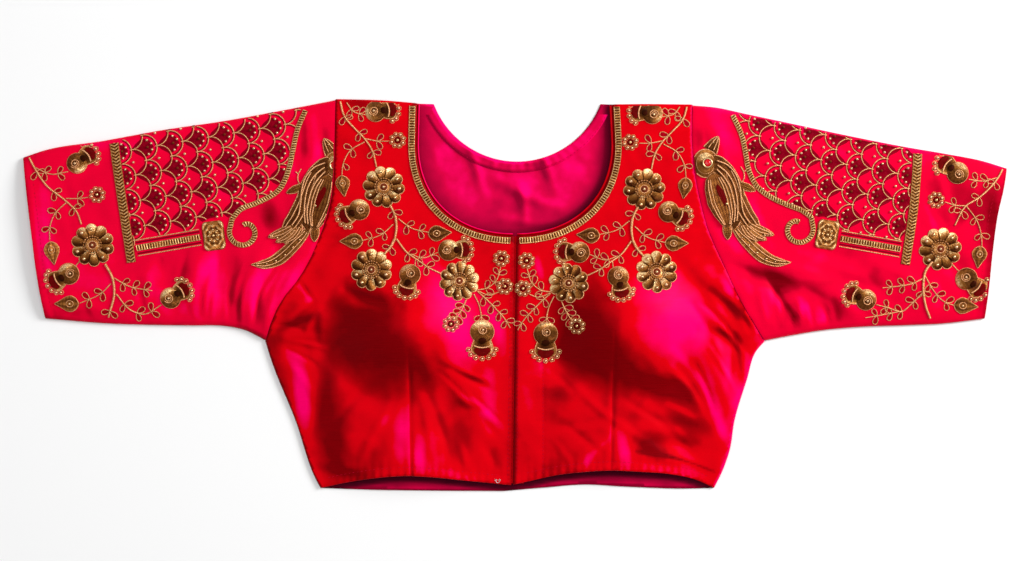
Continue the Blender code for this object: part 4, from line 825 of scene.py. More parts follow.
def lining_finish(name):
    """The pink-red lining and the inside of the back, its colour painted with light: lighter where it faces
    the key light, mottled at random, and near black as painted shadow where 'height' is low.
    """
    pink = tuple(scene_settings().lining)
    finish = Finish(name, Specular_IOR_Level=0.14, Specular_Tint=(1.0, 0.1, 0.4, 1.0))
    slope = finish.facing((0.8, 0.6, 0.0)) * 2.4 + finish.noise(26.0, 4.0) * 1.5 - 0.2
    level = finish.clamp(slope * finish.read("height"))
    tone = finish.ramp(level, (0.1, dimmed(pink, 0.45)), (0.55, pink), (0.95, LINING_PAINTED_HIGHLIGHT))
    slub = finish.noise(90.0, 3.0, (1.0, 14.0, 1.0))
    outside_painted_shadow = finish.clamp(finish.read("height") * 2.6)
    finish.feed(Base_Color=finish.mix(outside_painted_shadow, rgba(dimmed(pink, 0.05)), tone),
                Roughness=0.42 + slub * 0.16, Normal=finish.bump(slub, 0.00005))
    return finish.material


def gold_finish(name, light, roughness, metallic, pitch):
    """Metal thread, its colour painted with light and shade from 'height': bright where it stands proud or is
    painted lit, brown to black as painted shade between its stitches, twisted at a pitch.
    """
    settings = scene_settings()
    finish = Finish(name, Metallic=metallic, Specular_Tint=(1.0, 0.5, 0.2, 1.0))
    twist = finish.strands(pitch)
    glitter = finish.node("ShaderNodeTexVoronoi", {}, {0: finish.place(), "Scale": 850.0}, 1)
    glint = finish.node("ShaderNodeSeparateColor", {}, {0: glitter})
    # painted light: the painted light and shade in 'height', the twist and random painted glints
    lit = finish.clamp(finish.read("height") * (0.56 + 0.3 * twist + 0.42 * glint) - 0.05)
    dark, brown = tuple(settings.gold_painted_shade), tuple(settings.gold_brown)
    tone = finish.ramp(lit, (0.0, dark), (0.46, brown), (0.92, light))
    finish.feed(
        Base_Color=tone,
        Roughness=roughness + glint * 0.16 - lit * 0.1,
        Normal=finish.bump(twist + glint * 0.5, 0.00024, 0.9),
    )
    return finish.material


def bead_finish(name, colour, roughness, metallic):
    finish = Finish(name, Metallic=metallic, Coat_Roughness=0.08)
    tone = finish.mix(finish.noise(500.0, 1.0), rgba(colour), rgba(dimmed(colour, 0.55)))
    finish.feed(Base_Color=tone, Roughness=roughness + finish.noise(900.0, 1.0) * 0.12)
    return finish.material


def silk_finish(name, colour):
    """Silk stitches, such as the dark red ones that fill the leaflets and the beaded scales."""
    finish = Finish(name, Specular_IOR_Level=0.12, Specular_Tint=(1.0, 0.05, 0.08, 1.0))
    strands = finish.strands(0.7)
    finish.feed(Base_Color=finish.mix(strands * 0.6, rgba(colour), rgba(dimmed(colour, 0.45))),
                Roughness=0.5 - strands * 0.12, Normal=finish.bump(strands, 0.00015))
    return finish.material


def finish_of(name):
    """The named material, made when first asked for."""
    made = bpy.data.materials.get(name)
    if made:
        return made
    if name in BEADS:
        return bead_finish(name, *BEADS[name])
    if name in SILKS:
        return silk_finish(name, SILKS[name])
    settings = scene_settings()
    gold, red = tuple(settings.gold), tuple(settings.satin_red)
    makers = {
        "satin_front": lambda: satin_finish(name, red, settings.front_lean),
        "satin_sleeve": lambda: satin_finish(name, tuple(settings.satin_crimson), settings.sleeve_lean),
        "satin_binding": lambda: satin_finish(name, red, 0.4),
        "lining": lambda: lining_finish(name),
        "zari_padded": lambda: gold_finish(name, gold, 0.3, 0.62, 0.85),
        "zari_thread": lambda: gold_finish(name, tuple(settings.gold_thread), 0.4, 0.5, TWIST),
        "zari_braid": lambda: gold_finish(name, dimmed(gold, 0.85), 0.36, 0.62, 1.2),
    }
    return makers[name]()


# Pieces


def grid_faces(rows, columns, wrap=False):
    """Quads over a grid of points, row by row, joined round to the first column if wrapped."""
    across = columns if wrap else columns - 1
    row, column = (g.ravel() for g in np.meshgrid(np.arange(rows - 1), np.arange(across), indexing="ij"))
    beside = (column + 1) % columns
    first, second = row * columns + column, row * columns + beside
    return np.stack([first, second, second + columns, first + columns], axis=1)


def listed(faces, turned=False):
    """An array's faces as tuples, each the other way round if turned."""
    return [tuple(face[::-1]) if turned else tuple(face) for face in faces.tolist()]


class Piece:
    """Gathers the faces of one piece, each with a finish, and the two numbers a point that finishes read: its
    painted light and shade, and its place along a thread or, on the satin, its painted light patches.
    """

    def __init__(self, name, slot, replaced=()):
        self.name, self.slot, self.replaced = name, slot, replaced
        self.points, self.faces, self.finishes, self.heights, self.threads = [], [], [], [], []
        self.used, self.count = [], 0

    def add(self, points, faces, finish, height=1.0, thread=0.0):
        points = np.asarray(points, float).reshape(-1, 3)
        if finish not in self.used:
            self.used.append(finish)
        self.points.append(points)
        self.heights.append(np.broadcast_to(height, len(points)))
        self.threads.append(np.broadcast_to(thread, len(points)))
        moved = [[k + self.count for k in face] for face in faces]
        self.faces.extend(moved)
        self.finishes.extend([self.used.index(finish)] * len(moved))
        self.count += len(points)

    def shell(self, flat, triangles, lower, upper, finish, shade, painted_patches, under):
        """A closed thin shell over plan points, with a rounded edge and its own finish underneath. shade is
        its painted shade, and the patches its painted light.
        """
        count = len(flat)
        directed = {(a, b) for t in triangles for a, b in ((t[0], t[1]), (t[1], t[2]), (t[2], t[0]))}
        rim = sorted(edge for edge in directed if edge[::-1] not in directed)
        outward = np.zeros((count, 2))
        for a, b in rim:
            run = flat[b] - flat[a]
            turned = np.array((run[1], -run[0])) / max(np.hypot(*run), 1e-6)
            outward[a] += turned
            outward[b] += turned
        edge = sorted({a for a, _ in rim})
        place = {k: 2 * count + i for i, k in enumerate(edge)}
        lengths = np.maximum(np.linalg.norm(outward[edge], axis=1), 1e-6)[:, None]
        bulge = flat[edge] + 0.3 * CLOTH * outward[edge] / lengths
        middle = np.column_stack([bulge, 0.5 * (lower[edge] + upper[edge])])
        points = np.vstack([np.column_stack([flat, lower]), np.column_stack([flat, upper]), middle])
        faces = [(a, c, b) for a, b, c in triangles]
        faces += [(a + count, b + count, c + count) for a, b, c in triangles]
        for a, b in rim:
            faces.append((a, b, place[b], place[a]))
            faces.append((place[a], place[b], b + count, a + count))
        shade, painted_patches = (np.concatenate([values, values, values[edge]]) for values in (shade, painted_patches))
        self.add(points, faces, finish, shade, painted_patches)
        if under not in self.used:
            self.used.append(under)
        self.finishes[-len(faces):len(triangles) - len(faces)] = [self.used.index(under)] * len(triangles)

    def mound(self, plan, heights, cloth, finish, wrap=False, shade=None, thread=None, sink=0.15):
        """A raised patch: a grid of plan points and their heights over the cloth, closed underneath."""
        rows, columns = heights.shape
        x, y = plan[..., 0].ravel(), plan[..., 1].ravel()
        ground = cloth.top(x, y)
        top = np.column_stack([x, y, ground + heights.ravel()])
        base = np.column_stack([x, y, ground - sink])
        count = rows * columns
        faces = grid_faces(rows, columns, wrap)
        quads = listed(faces) + listed(faces + count, turned=True)
        for row in (0, rows - 1):
            start = row * columns
            for k in range(columns if wrap else columns - 1):
                a, b = start + k, start + (k + 1) % columns
                quads.append((b, a, a + count, b + count) if row == 0 else (a, b, b + count, a + count))
        if not wrap:
            for r in range(rows - 1):
                for k, flip in ((0, False), (columns - 1, True)):
                    a, b = r * columns + k, (r + 1) * columns + k
                    quads.append((b, a, a + count, b + count) if flip else (a, b, b + count, a + count))
        turn = np.cross(plan[1, 0] - plan[0, 0], plan[0, 1] - plan[0, 0])
        if turn > 0:
            quads = [f[::-1] for f in quads]
        shade = np.ones(count) if shade is None else shade.ravel()
        thread = np.zeros(count) if thread is None else thread.ravel()
        self.add(np.vstack([top, base]), quads, finish, np.tile(shade, 2), np.tile(thread, 2))

    def tube(self, path, radius, finish, sides=6, closed=False, shade=1.0, pitch=TWIST):
        """A round thread along a path of 3-D points."""
        path = np.asarray(path, float)
        if closed:
            headings = np.roll(path, -1, axis=0) - np.roll(path, 1, axis=0)
        else:
            headings = np.gradient(path, axis=0)
        headings = headings / np.maximum(np.linalg.norm(headings, axis=1), 1e-9)[:, None]
        across = np.cross(headings, (0.0, 0.0, 1.0))
        across = across / np.maximum(np.linalg.norm(across, axis=1), 1e-9)[:, None]
        up = np.cross(across, headings)
        turns = -math.pi / 2 + full_turn(sides)
        radius = np.broadcast_to(radius, len(path))[:, None, None]
        ring = np.cos(turns)[None, :, None] * across[:, None] + np.sin(turns)[None, :, None] * up[:, None]
        points = (path[:, None] + radius * ring).reshape(-1, 3)
        along = lengths_along(path)
        thread = (along[:, None] + pitch * np.arange(sides)[None, :] / sides).ravel()
        faces = listed(grid_faces(len(path), sides, True), turned=True)
        if closed:
            last = (len(path) - 1) * sides
            for k in range(sides):
                beside = (k + 1) % sides
                faces.append((last + k, k, beside, last + beside))
        else:
            faces.append(tuple(range(sides)))
            faces.append(tuple(range(len(points) - 1, len(points) - 1 - sides, -1)))
        self.add(points, faces, finish, shade, thread)

    def cord(self, line, cloth, radius, finish, lift=0.55, closed=False, sides=6, shade=1.0, pitch=TWIST):
        """A thread that follows the cloth along a line in plan. lift is its middle's height, in radii."""
        line = np.asarray(line, float)
        # painted shade: the thread's underside and flanks darker, its top lit
        ring = np.sin(-math.pi / 2 + full_turn(sides))
        shade = np.outer(np.broadcast_to(shade, len(line)), 0.3 + 0.75 * np.maximum(ring, 0.0)).ravel()
        z = cloth.top(line[:, 0], line[:, 1]) + lift * np.broadcast_to(radius, len(line))
        self.tube(np.column_stack([line, z]), radius, finish, sides, closed, shade, pitch)

    def bead(self, x, y, cloth, radius, finish, lift=0.6, flat=1.0, sides=8):
        """A round bead on the cloth, flattened if flat is under 1."""
        z = float(cloth.top(x, y)) + lift * radius
        ups = np.radians((-60.0, -20.0, 20.0, 60.0))
        turns = full_turn(sides)
        ring = [(x + radius * math.cos(u) * math.cos(t), y + radius * math.cos(u) * math.sin(t),
                 z + flat * radius * math.sin(u)) for u in ups for t in turns]
        ring += [(x, y, z - flat * radius), (x, y, z + flat * radius)]
        faces = listed(grid_faces(len(ups), sides, True))
        low, high = len(ups) * sides, len(ups) * sides + 1
        for k in range(sides):
            beside = (k + 1) % sides
            faces.append((beside, k, low))
            faces.append((low - sides + k, low - sides + beside, high))
        self.add(ring, faces, finish)

    def make(self):
        mesh = bpy.data.meshes.new(self.name)
        mesh.from_pydata((np.vstack(self.points) * MM).tolist(), [], self.faces)
        for finish in self.used:
            mesh.materials.append(finish_of(finish))
        mesh.polygons.foreach_set("material_index", self.finishes)
        # 'height' holds each point's painted light and shade, not its height; 'thread' holds its place along
        # a thread, or on the satin the painted light patches
        for name, values in (("height", self.heights), ("thread", self.threads)):
            made = mesh.attributes.new(name, "FLOAT", "POINT")
            made.data.foreach_set("value", np.concatenate(values).astype(np.float32))
        mesh.validate()
        mesh.shade_smooth()
        mesh.set_sharp_from_angle(angle=math.radians(SHARP_ANGLE))
        item = bpy.data.objects.new(self.name, mesh)
        bpy.context.scene.collection.objects.link(item)
        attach(item, "root")
        if self.replaced:
            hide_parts(*self.replaced)
        return item


# Cloth pieces


def filled(outline, step, extra=()):
    """Plan points and anticlockwise triangles that fill an outline evenly."""
    low, high = outline.min(0), outline.max(0)
    rows = np.arange(low[1], high[1], step * math.sqrt(3) / 2)
    grid = []
    for number, y in enumerate(rows):
        xs = np.arange(low[0] + 0.5 * (number % 2) * step, high[0], step)
        grid.append(np.column_stack([xs, np.full(len(xs), y)]))
    grid = np.vstack(grid)
    grid = grid[inside(grid[:, 0], grid[:, 1], outline)]
    loop = np.vstack([outline, outline[:1]])
    grid = grid[gaps(grid[:, 0], grid[:, 1], [loop]) > 0.55 * step]
    if extra:
        grid = grid[gaps(grid[:, 0], grid[:, 1], extra) > 0.6 * step]
        grid = np.vstack([grid, *extra])
    points = [Vector(p) for p in np.vstack([outline, grid]).tolist()]
    flat, _, faces, _, _, _ = delaunay_2d_cdt(points, [], [list(range(len(outline)))], 1, 1e-3)
    flat = np.array([tuple(p) for p in flat])
    triangles = np.array(faces)
    a, b, c = (flat[triangles[:, k]] for k in range(3))
    clockwise = (b[:, 0] - a[:, 0]) * (c[:, 1] - a[:, 1]) < (b[:, 1] - a[:, 1]) * (c[:, 0] - a[:, 0])
    triangles[clockwise] = triangles[clockwise][:, ::-1]
    return flat, [tuple(t) for t in triangles.tolist()]


def front_outline(side, step):
    lines, sign = LINES[side], SIDES[side]
    hem = smooth(lines["front_hem"], step)[:-1]
    hem = hem[sign * (hem[:, 0] - opening_x(hem[:, 1])) > OPENING_GAP / 2 + 2.0]
    neck = front_neck(side, 2 * PIPING_RADIUS + SEAM_GAP, step)
    top_y, foot_y = neck[0][1], lines["front_hem"][-1][1]
    ys = np.linspace(foot_y, top_y, int((top_y - foot_y) / step))
    centre = np.column_stack([opening_x(ys) + sign * OPENING_GAP / 2, ys])
    neck = neck[sign * (neck[:, 0] - centre[-1][0]) > 2.0]
    shoulder = smooth(lines["shoulder"], step)
    shoulder = shoulder[sign * (shoulder[:, 0] - neck[-1][0]) > 2.0]
    return np.vstack([centre, neck, shoulder, even(armhole(side, 0.0), step)[1:],
                      smooth(lines["side"], step)[1:], hem[1:]])


def make_front(side):
    step = scene_settings().cloth_step / MM
    dart = DARTS[side]
    spine = even([(dart.top_x, dart.top_y), (dart.foot_x, dart.foot_y)], 0.7 * step)
    spines = [spine + np.array([away, 0.0]) for away in (-1.5, 0.0, 1.5)]
    flat, triangles = filled(front_outline(side, step), step, spines)
    cloth = relief("front", side)
    piece = Piece("satin_front_" + side, "satin", ["front_" + side])
    x, y = flat.T
    # painted shade: darker along the neck edge under the braid, beside the armhole seam lower down, beside
    # the front opening and along the dart
    neck, arm = gaps(x, y, NECK[side]), gaps(x, y, ARMHOLE[side])
    seam = np.clip((120.0 - y) / 140.0, 0.15, 1.0)
    shade = 1.0 - 0.82 * bell(np.maximum(neck - 6.0, 0.0), 2.0) - 0.3 * seam * bell(arm, 1.6)
    reach = 3.8 if side == "right" else 2.4
    shade = shade - 0.85 * bell(np.abs(x - opening_x(y)) - OPENING_GAP / 2, reach)
    middle = x - np.interp(y, (dart.foot_y, dart.top_y), (dart.foot_x, dart.top_x))
    shade = shade - 0.45 * bell(middle - 0.4, 1.0) * (y < dart.top_y)
    under, over, painted_patch_values = cloth.bottom(x, y), cloth.top(x, y), folds(x, y, PAINTED_LIGHT_PATCHES)
    piece.shell(flat, triangles, under, over, "satin_front", shade, painted_patch_values, "lining")
    return piece.make()


def sleeve_place(side, up, down):
    """The plan point of a sleeve at a share of the way up it and from its top fold down."""
    seam = armhole(side, SEAM_GAP + 0.06)
    lines = {name: smooth(LINES[side][name], 4.0) for name in ("sleeve_top", "sleeve_under", "cuff")}
    shares = {name: np.linspace(0.0, 1.0, len(line)) for name, line in lines.items()}
    lines["armhole"], shares["armhole"] = seam, RING_SHARES
    lines["sleeve_top"][-1], lines["sleeve_under"][-1] = seam[0], seam[-1]

    def at(name, share):
        return read_line(share, shares[name], lines[name])

    corner = {key: at(key[0], key[1]) for key in (("cuff", 0), ("cuff", 1), ("armhole", 0), ("armhole", 1))}
    u, d = up[..., None], down[..., None]
    across = (1 - u) * at("cuff", down) + u * at("armhole", down)
    along = (1 - d) * at("sleeve_top", up) + d * at("sleeve_under", up)
    corners = ((1 - u) * (1 - d) * corner["cuff", 0] + (1 - u) * d * corner["cuff", 1]
               + u * (1 - d) * corner["armhole", 0] + u * d * corner["armhole", 1])
    return across + along - corners


def make_sleeve(side):
    """A sleeve: one flattened tube of cloth with a rounded rim at the cuff."""
    step = scene_settings().cloth_step / MM
    cloth = relief("sleeve", side)
    sections = np.linspace(0.0, 1.0, int(250 / step))
    shares = np.linspace(FOLD_SHARE, 1.0 - FOLD_SHARE, int(165 / step))
    noses = np.radians(np.linspace(67.5, -67.5, 7))
    up, down = np.meshgrid(sections, shares, indexing="ij")
    plan = sleeve_place(side, up, down)
    x, y = plan[..., 0], plan[..., 1]
    give = np.maximum(ripples(x, y) + 0.3 * folds(x.ravel(), y.ravel()).reshape(x.shape), 0.0)
    give = np.minimum(0.7 * give, 0.55) * np.sin(math.pi * down) ** 0.7
    layers = []
    for inner in (False, True):
        wall = 0.0 if inner else CLOTH
        upper = cloth.bottom(x, y) if inner else cloth.top(x, y)
        rows = [np.dstack([plan, upper])]
        for edge, angles in ((-1, noses), (0, noses[::-1])):
            centre = plan[:, edge]
            outward = sleeve_place(side, sections, np.full(len(sections), 1.0 if edge else 0.0)) - centre
            outward = outward / np.linalg.norm(outward, axis=1)[:, None]
            reach = (FOLD_GAP / 2 + wall) * np.cos(angles)
            nose = centre[:, None] + outward[:, None] * reach[None, :, None]
            z = CLOTH + FOLD_GAP / 2 + (FOLD_GAP / 2 + wall) * np.sin(angles)
            rows.append(np.dstack([nose, np.broadcast_to(z, nose.shape[:2])]))
            if edge:
                rows.append(np.dstack([plan[:, ::-1], (give + (CLOTH if inner else 0.0))[:, ::-1]]))
        layers.append(np.concatenate(rows, axis=1))
    outer, lining = layers
    count, ring = outer.shape[:2]
    middle = [0.5 * (outer[k] + lining[k]) for k in (0, -1)]
    points = np.vstack([outer.reshape(-1, 3), lining.reshape(-1, 3), *middle])
    body = grid_faces(count, ring, True)
    faces = listed(body) + listed(body + count * ring, turned=True)
    rims = 2 * count * ring
    for row, start, turned in ((0, rims, True), ((count - 1) * ring, rims + ring, False)):
        lining_row = row + count * ring
        for k in range(ring):
            beside = (k + 1) % ring
            walls = ((row + k, row + beside, start + beside, start + k),
                     (start + k, start + beside, lining_row + beside, lining_row + k))
            faces += [wall[::-1] if turned else wall for wall in walls]
    if SIDES[side] > 0:
        faces = [f[::-1] for f in faces]
    piece = Piece("satin_sleeve_" + side, "satin", ["sleeve_" + side])
    x, y = points[:, 0], points[:, 1]
    # painted shade: darker along the cuff and beside the armhole seam
    shade = 1.0 - 0.55 * bell(gaps(x, y, CUFF[side]), 3.2) - 0.2 * bell(gaps(x, y, ARMHOLE[side]), 1.6)
    piece.add(points, faces, "satin_sleeve", shade, folds(x, y, PAINTED_LIGHT_PATCHES))
    return piece.make()


def make_back():
    right, left = LINES["right"], LINES["left"]
    step = 1.2 * scene_settings().cloth_step / MM
    outline = np.vstack([
        back_neck(0.0, step)[::-1], [(right["shoulder"][0][0], BACK_SHOULDER_Y["right"])],
        even(armhole("right", 0.0), step), smooth(right["side"], step)[1:],
        smooth(right["back_hem"], step)[1:],
        smooth(left["back_hem"], step)[::-1][1:], smooth(left["side"], step)[::-1][1:],
        even(armhole("left", 0.0), step)[::-1][1:], [(left["shoulder"][0][0], BACK_SHOULDER_Y["left"])],
    ])
    flat, triangles = filled(outline, step)
    x, y = flat.T
    low = relief("back").bottom(x, y)
    # painted shadow: near black just under the front's hem, and darker inside the front neck edges, more so
    # towards +X
    hem = np.vstack([*HEM["right"], *HEM["left"]])
    hem = hem[np.argsort(hem[:, 0])]
    behind = y - np.interp(x, hem[:, 0], hem[:, 1])
    shade = 1.0 - 0.97 * np.clip((behind + 13.0) / 8.0, 0.0, 1.0) * (y < -100.0)
    neck_edge = [front_neck(side, 0.0, 2.0) for side in SIDES]
    neck_shadow_strength = 0.75 + 0.14 * np.clip(x / 40.0, -1.0, 1.0)
    shade = shade - neck_shadow_strength * bell(gaps(x, y, neck_edge), 11.5) * (y > 50.0)
    piece = Piece("satin_back", "satin_back", ["back"])
    piece.shell(flat, triangles, low, low + CLOTH, "lining", shade, folds(-x, y, PAINTED_LIGHT_PATCHES), "satin_front")
    return piece.make()


class Lifted:
    """A cloth that is read a fixed height above or below another."""

    def __init__(self, cloth, lift):
        self.cloth, self.lift = cloth, lift

    def top(self, x, y):
        return self.cloth.bottom(x, y) + self.lift


def make_facing():
    """The band that finishes the back neck, turned in and stitched down."""
    inner, outer = back_neck(0.4, 1.5), back_neck(FACING_WIDTH, 1.5)
    cloth = Lifted(relief("back"), CLOTH)
    shares = np.linspace(0.0, 1.0, 9)
    at = np.linspace(0.0, 1.0, 130)
    ends = [read_line(at, np.linspace(0, 1, len(edge)), edge)
            for edge in (inner[inner[:, 1] < FACING_TOP_Y], outer[outer[:, 1] < FACING_TOP_Y])]
    plan = ends[0][None] * (1 - shares[:, None, None]) + ends[1][None] * shares[:, None, None]
    rounded = 1.0 - 0.6 * np.abs(2 * shares - 1.0) ** 6 - 0.15 * bell(shares - 0.85, 0.06)
    wave = 0.08 * np.sin(at * 150.0) * np.sin(math.pi * at)
    heights = 0.3 + rounded[:, None] * (1.0 + wave[None, :])
    piece = Piece("neck_facing", "neck_binding", ["neck_facing_back"])
    piece.mound(plan, heights, cloth, "lining", sink=0.0)
    return piece.make()


def make_hook_strip():
    """The strip behind the front opening."""
    rows, columns = 90, 9
    ys = np.linspace(LINES["left"]["front_hem"][-1][1] + 1.0, NECK_CENTRE_Y - FRONT_NECK[1] - 3.0, rows)
    shares = np.linspace(0.0, 1.0, columns)
    x = opening_x(ys)[:, None] + UNDERLAP[0] + shares[None, :] * (UNDERLAP[1] - UNDERLAP[0])
    y = np.broadcast_to(ys[:, None], x.shape)
    right, left = relief("front", "right"), relief("front", "left")
    edge = opening_x(y)
    levels = [right.bottom(x, y), left.bottom(x, y), right.bottom(edge - 2.5, y), left.bottom(edge + 2.5, y)]
    upper = np.minimum.reduce(levels) - 1.5 * SEAM_GAP
    lower = np.maximum(upper - 1.0, CLOTH + SEAM_GAP)
    upper = np.maximum(upper, lower + 0.3)
    count = x.size
    body = grid_faces(rows, columns)
    faces = listed(body + count) + listed(body, turned=True)
    number = np.arange(count).reshape(rows, columns)
    rim = np.concatenate([number[0], number[1:, -1], number[-1, -2::-1], number[-2:0:-1, 0]]).tolist()
    for a, b in zip(rim, rim[1:] + rim[:1]):
        faces.append((a, b, b + count, a + count))
    flat = np.column_stack([x.ravel(), y.ravel()])
    points = np.vstack([np.column_stack([flat, lower.ravel()]), np.column_stack([flat, upper.ravel()])])
    piece = Piece("hook_strip", "satin", ["underlap"])
    piece.add(points, faces, "satin_front")
    return piece.make()


# Embroidery


def ellipse(x, y, long, short, turn, count):
    """A closed line of points round an ellipse, long along its turn in degrees."""
    t = full_turn(count)
    c, s = math.cos(math.radians(turn)), math.sin(math.radians(turn))
    u, v = long * np.cos(t), short * np.sin(t)
    return np.column_stack([x + c * u - s * v, y + s * u + c * v])


def runs(line, keep):
    """The stretches of a line whose points are kept, each at least three points long."""
    cuts = np.flatnonzero(np.diff(np.concatenate([[False], keep, [False]]).astype(int)))
    return [line[a:b] for a, b in zip(cuts[::2], cuts[1::2]) if b - a > 2]


def polar(edge, centre, shares):
    """Rows of plan points from a centre out to a closed edge."""
    return np.array(centre)[None, None] + shares[:, None, None] * (edge - np.array(centre))[None]


class Ground:
    """A piece of cloth to sew on: its heights, and the room left below its top edge or beside a seam."""

    def __init__(self, group, side):
        self.group, self.side, self.cloth = group, side, relief(group, side)
        self.edge = self.ordered("shoulder" if group == "front" else "sleeve_top", 6.0, 0)
        self.seam = self.ordered("armhole", 4.0, 1)
        self.cuff = self.ordered("cuff", 6.0, 1)

    def ordered(self, name, step, axis):
        """A line of this side with its points in the order of one coordinate."""
        line = smooth(LINES[self.side][name], step)
        return line[np.argsort(line[:, axis])]

    def top(self, x, y):
        return self.cloth.top(x, y)

    def over_edge(self, plan):
        return plan[..., 1] - np.interp(plan[..., 0], self.edge[:, 0], self.edge[:, 1]) + EDGE_MARGIN

    def over_seam(self, plan):
        seam_x = np.interp(plan[..., 1], self.seam[:, 1], self.seam[:, 0])
        away = SIDES[self.side] * (plan[..., 0] - seam_x)
        return SEAM_MARGIN - away if self.group == "sleeve" else away + SEAM_MARGIN

    def over_cuff(self, plan):
        cuff_x = np.interp(plan[..., 1], self.cuff[:, 1], self.cuff[:, 0])
        return SIDES[self.side] * (plan[..., 0] - cuff_x) + CUFF_MARGIN

    def held(self, plan):
        """Plan points brought back to the edge, the seam and the cuff that they run over."""
        plan = np.array(plan, float)
        away = SIDES[self.side]
        limits = ((self.over_edge, 1, -1), (self.over_seam, 0, away if self.group == "sleeve" else -away),
                  (self.over_cuff, 0, -away))
        for over, axis, way in limits:
            plan[..., axis] += way * 0.97 * np.maximum(over(plan), 0.0)
        return plan

    def lies_on(self, line):
        return (self.over_edge(line) <= 0.0) & (self.over_seam(line) <= 0.0) & (self.over_cuff(line) <= 0.0)


def sewn_cord(piece, ground, line, radius, closed=False, lift=0.55, sides=6, shade=1.0, pitch=TWIST,
              finish="zari_thread"):
    """A thread on the cloth, cut where it runs over an edge or a seam."""
    line = np.asarray(line, float)
    keep = ground.lies_on(line)
    if keep.all():
        piece.cord(line, ground, radius, finish, lift, closed, sides, shade, pitch)
        return
    for part in runs(line, keep):
        piece.cord(part, ground, radius, finish, lift, False, sides, shade, pitch)


def sewn_bead(piece, ground, x, y, radius, finish, lift=0.6, flat=1.0):
    if ground.lies_on(np.array([[x, y]]))[0]:
        piece.bead(x, y, ground, radius, finish, lift, flat)


def sewn_dome(piece, ground, edge, centre, base, rise, finish, shade=None, thread=None, rows=6, power=0.6):
    """A padded dome over a closed edge."""
    shares = np.linspace(0.04, 1.0, rows)
    plan = ground.held(polar(edge, centre, shares))
    heights = np.broadcast_to((base + rise * (1.0 - shares**2) ** power)[:, None], plan.shape[:2])
    if shade is not None:
        shade = np.broadcast_to(shade, plan.shape[:2])
    if thread is not None:
        thread = np.broadcast_to(thread, plan.shape[:2])
    piece.mound(plan, heights, ground, finish, True, shade, thread)
    cap = len(edge)
    first = piece.count - 2 * plan.shape[0] * plan.shape[1]
    piece.faces.append([first + k for k in range(cap)])
    piece.faces.append([first + plan.shape[0] * cap + cap - 1 - k for k in range(cap)])
    piece.finishes.extend([piece.used.index(finish)] * 2)


def make_flower(piece, ground, motif):
    radius = motif.size / 2
    fine = 12
    step = np.arange(PETALS * fine)
    a = (step % fine) / fine * 2.0 - 1.0
    number = step // fine
    turn = math.radians(motif.turn) + full_turn(PETALS * fine)
    half = a * math.pi / PETALS
    lobe, bulge = 0.74 * radius, 0.26 * radius
    reach = lobe * np.cos(half) + np.sqrt(bulge**2 - (lobe * np.sin(half)) ** 2)
    heading = np.column_stack([np.cos(turn), np.sin(turn)])
    edge = np.array([motif.x, motif.y]) + reach[:, None] * heading
    shares = np.linspace(PETAL_START, 1.0, 13)
    across = np.sqrt(np.maximum(1.0 - a**2, 0.0))
    along = np.sin(math.pi * np.clip((shares - PETAL_START) / 0.72, 0.0, 1.0) ** 0.8)
    heights = 0.6 + 2.3 * along[:, None] * across[None, :] ** 0.7
    heights = heights - 0.5 * (number % 2)[None, :] * along[:, None] * across[None, :]
    middle = math.radians(motif.turn) + 2 * math.pi * (number + 0.5) / PETALS
    strength, angle = motif.light[0], math.radians(motif.light[1])
    # painted light: each petal lit on its side towards the light's direction and shaded on the other, the
    # petals in line with it brightest, with painted shade in the gaps between petals
    facing = 0.46 + 0.42 * (a * -np.sin(turn - angle))[None, :]
    facing = facing + 0.34 * np.outer((shares - 0.62) / 0.38, np.cos(turn - angle))
    light = 0.62 + 0.62 * np.cos(middle - angle) ** 2 + 0.14 * np.sin(number * 2.4 + motif.x)
    tone = light * (1.0 + 0.16 * np.cos(6 * math.pi * a)) * (0.25 + 0.85 * across**0.5)
    shade = 1.45 * (strength * np.clip(1.25 * facing, 0.1, 1.1) ** 1.9 * tone[None])
    thread = np.broadcast_to((half * radius)[None, :], heights.shape)
    plan = ground.held(polar(edge, (motif.x, motif.y), shares))
    piece.mound(plan, heights, ground, "zari_padded", True, shade, thread)
    sewn_cord(piece, ground, edge, 0.55, True)
    t = full_turn(80)
    # the bead rings: each bead lit, with painted shade between them
    for share, size in ((0.42, 0.62), (0.31, 0.5)):
        ring = np.array([motif.x, motif.y]) + share * radius * np.column_stack([np.cos(t), np.sin(t)])
        wave = size * (1.0 + 0.28 * np.cos(t * 20))
        piece.cord(ring, ground, wave, "zari_thread", 3.2, True, shade=0.5 + 0.5 * np.cos(t * 20))
    disc = ellipse(motif.x, motif.y, 0.40 * radius, 0.40 * radius, 0, 32)
    # painted light on the centre's dome, lit on two opposite sides
    shade = 0.45 + 0.3 * np.cos(2 * full_turn(32)) * motif.light[0]
    sewn_dome(piece, ground, disc, (motif.x, motif.y), 1.0, 0.8, "zari_padded", shade)
    disc = ellipse(motif.x, motif.y, 0.19 * radius, 0.19 * radius, 0, 24)
    sewn_dome(piece, ground, disc, (motif.x, motif.y), 1.7, 1.2, "copper")
    sewn_cord(piece, ground, disc, 0.5, True, lift=4.6)
    piece.bead(motif.x, motif.y, ground, 1.5, "pearl", 2.2)
    for k in range(PETALS):
        if k % 3 != 1:
            spot = math.radians(motif.turn) + 2 * math.pi * (k + 0.5) / PETALS
            x, y = motif.x + 0.76 * radius * math.cos(spot), motif.y + 0.76 * radius * math.sin(spot)
            piece.bead(x, y, ground, 1.9, "pearl" if k % 2 else "sequin", 1.3)


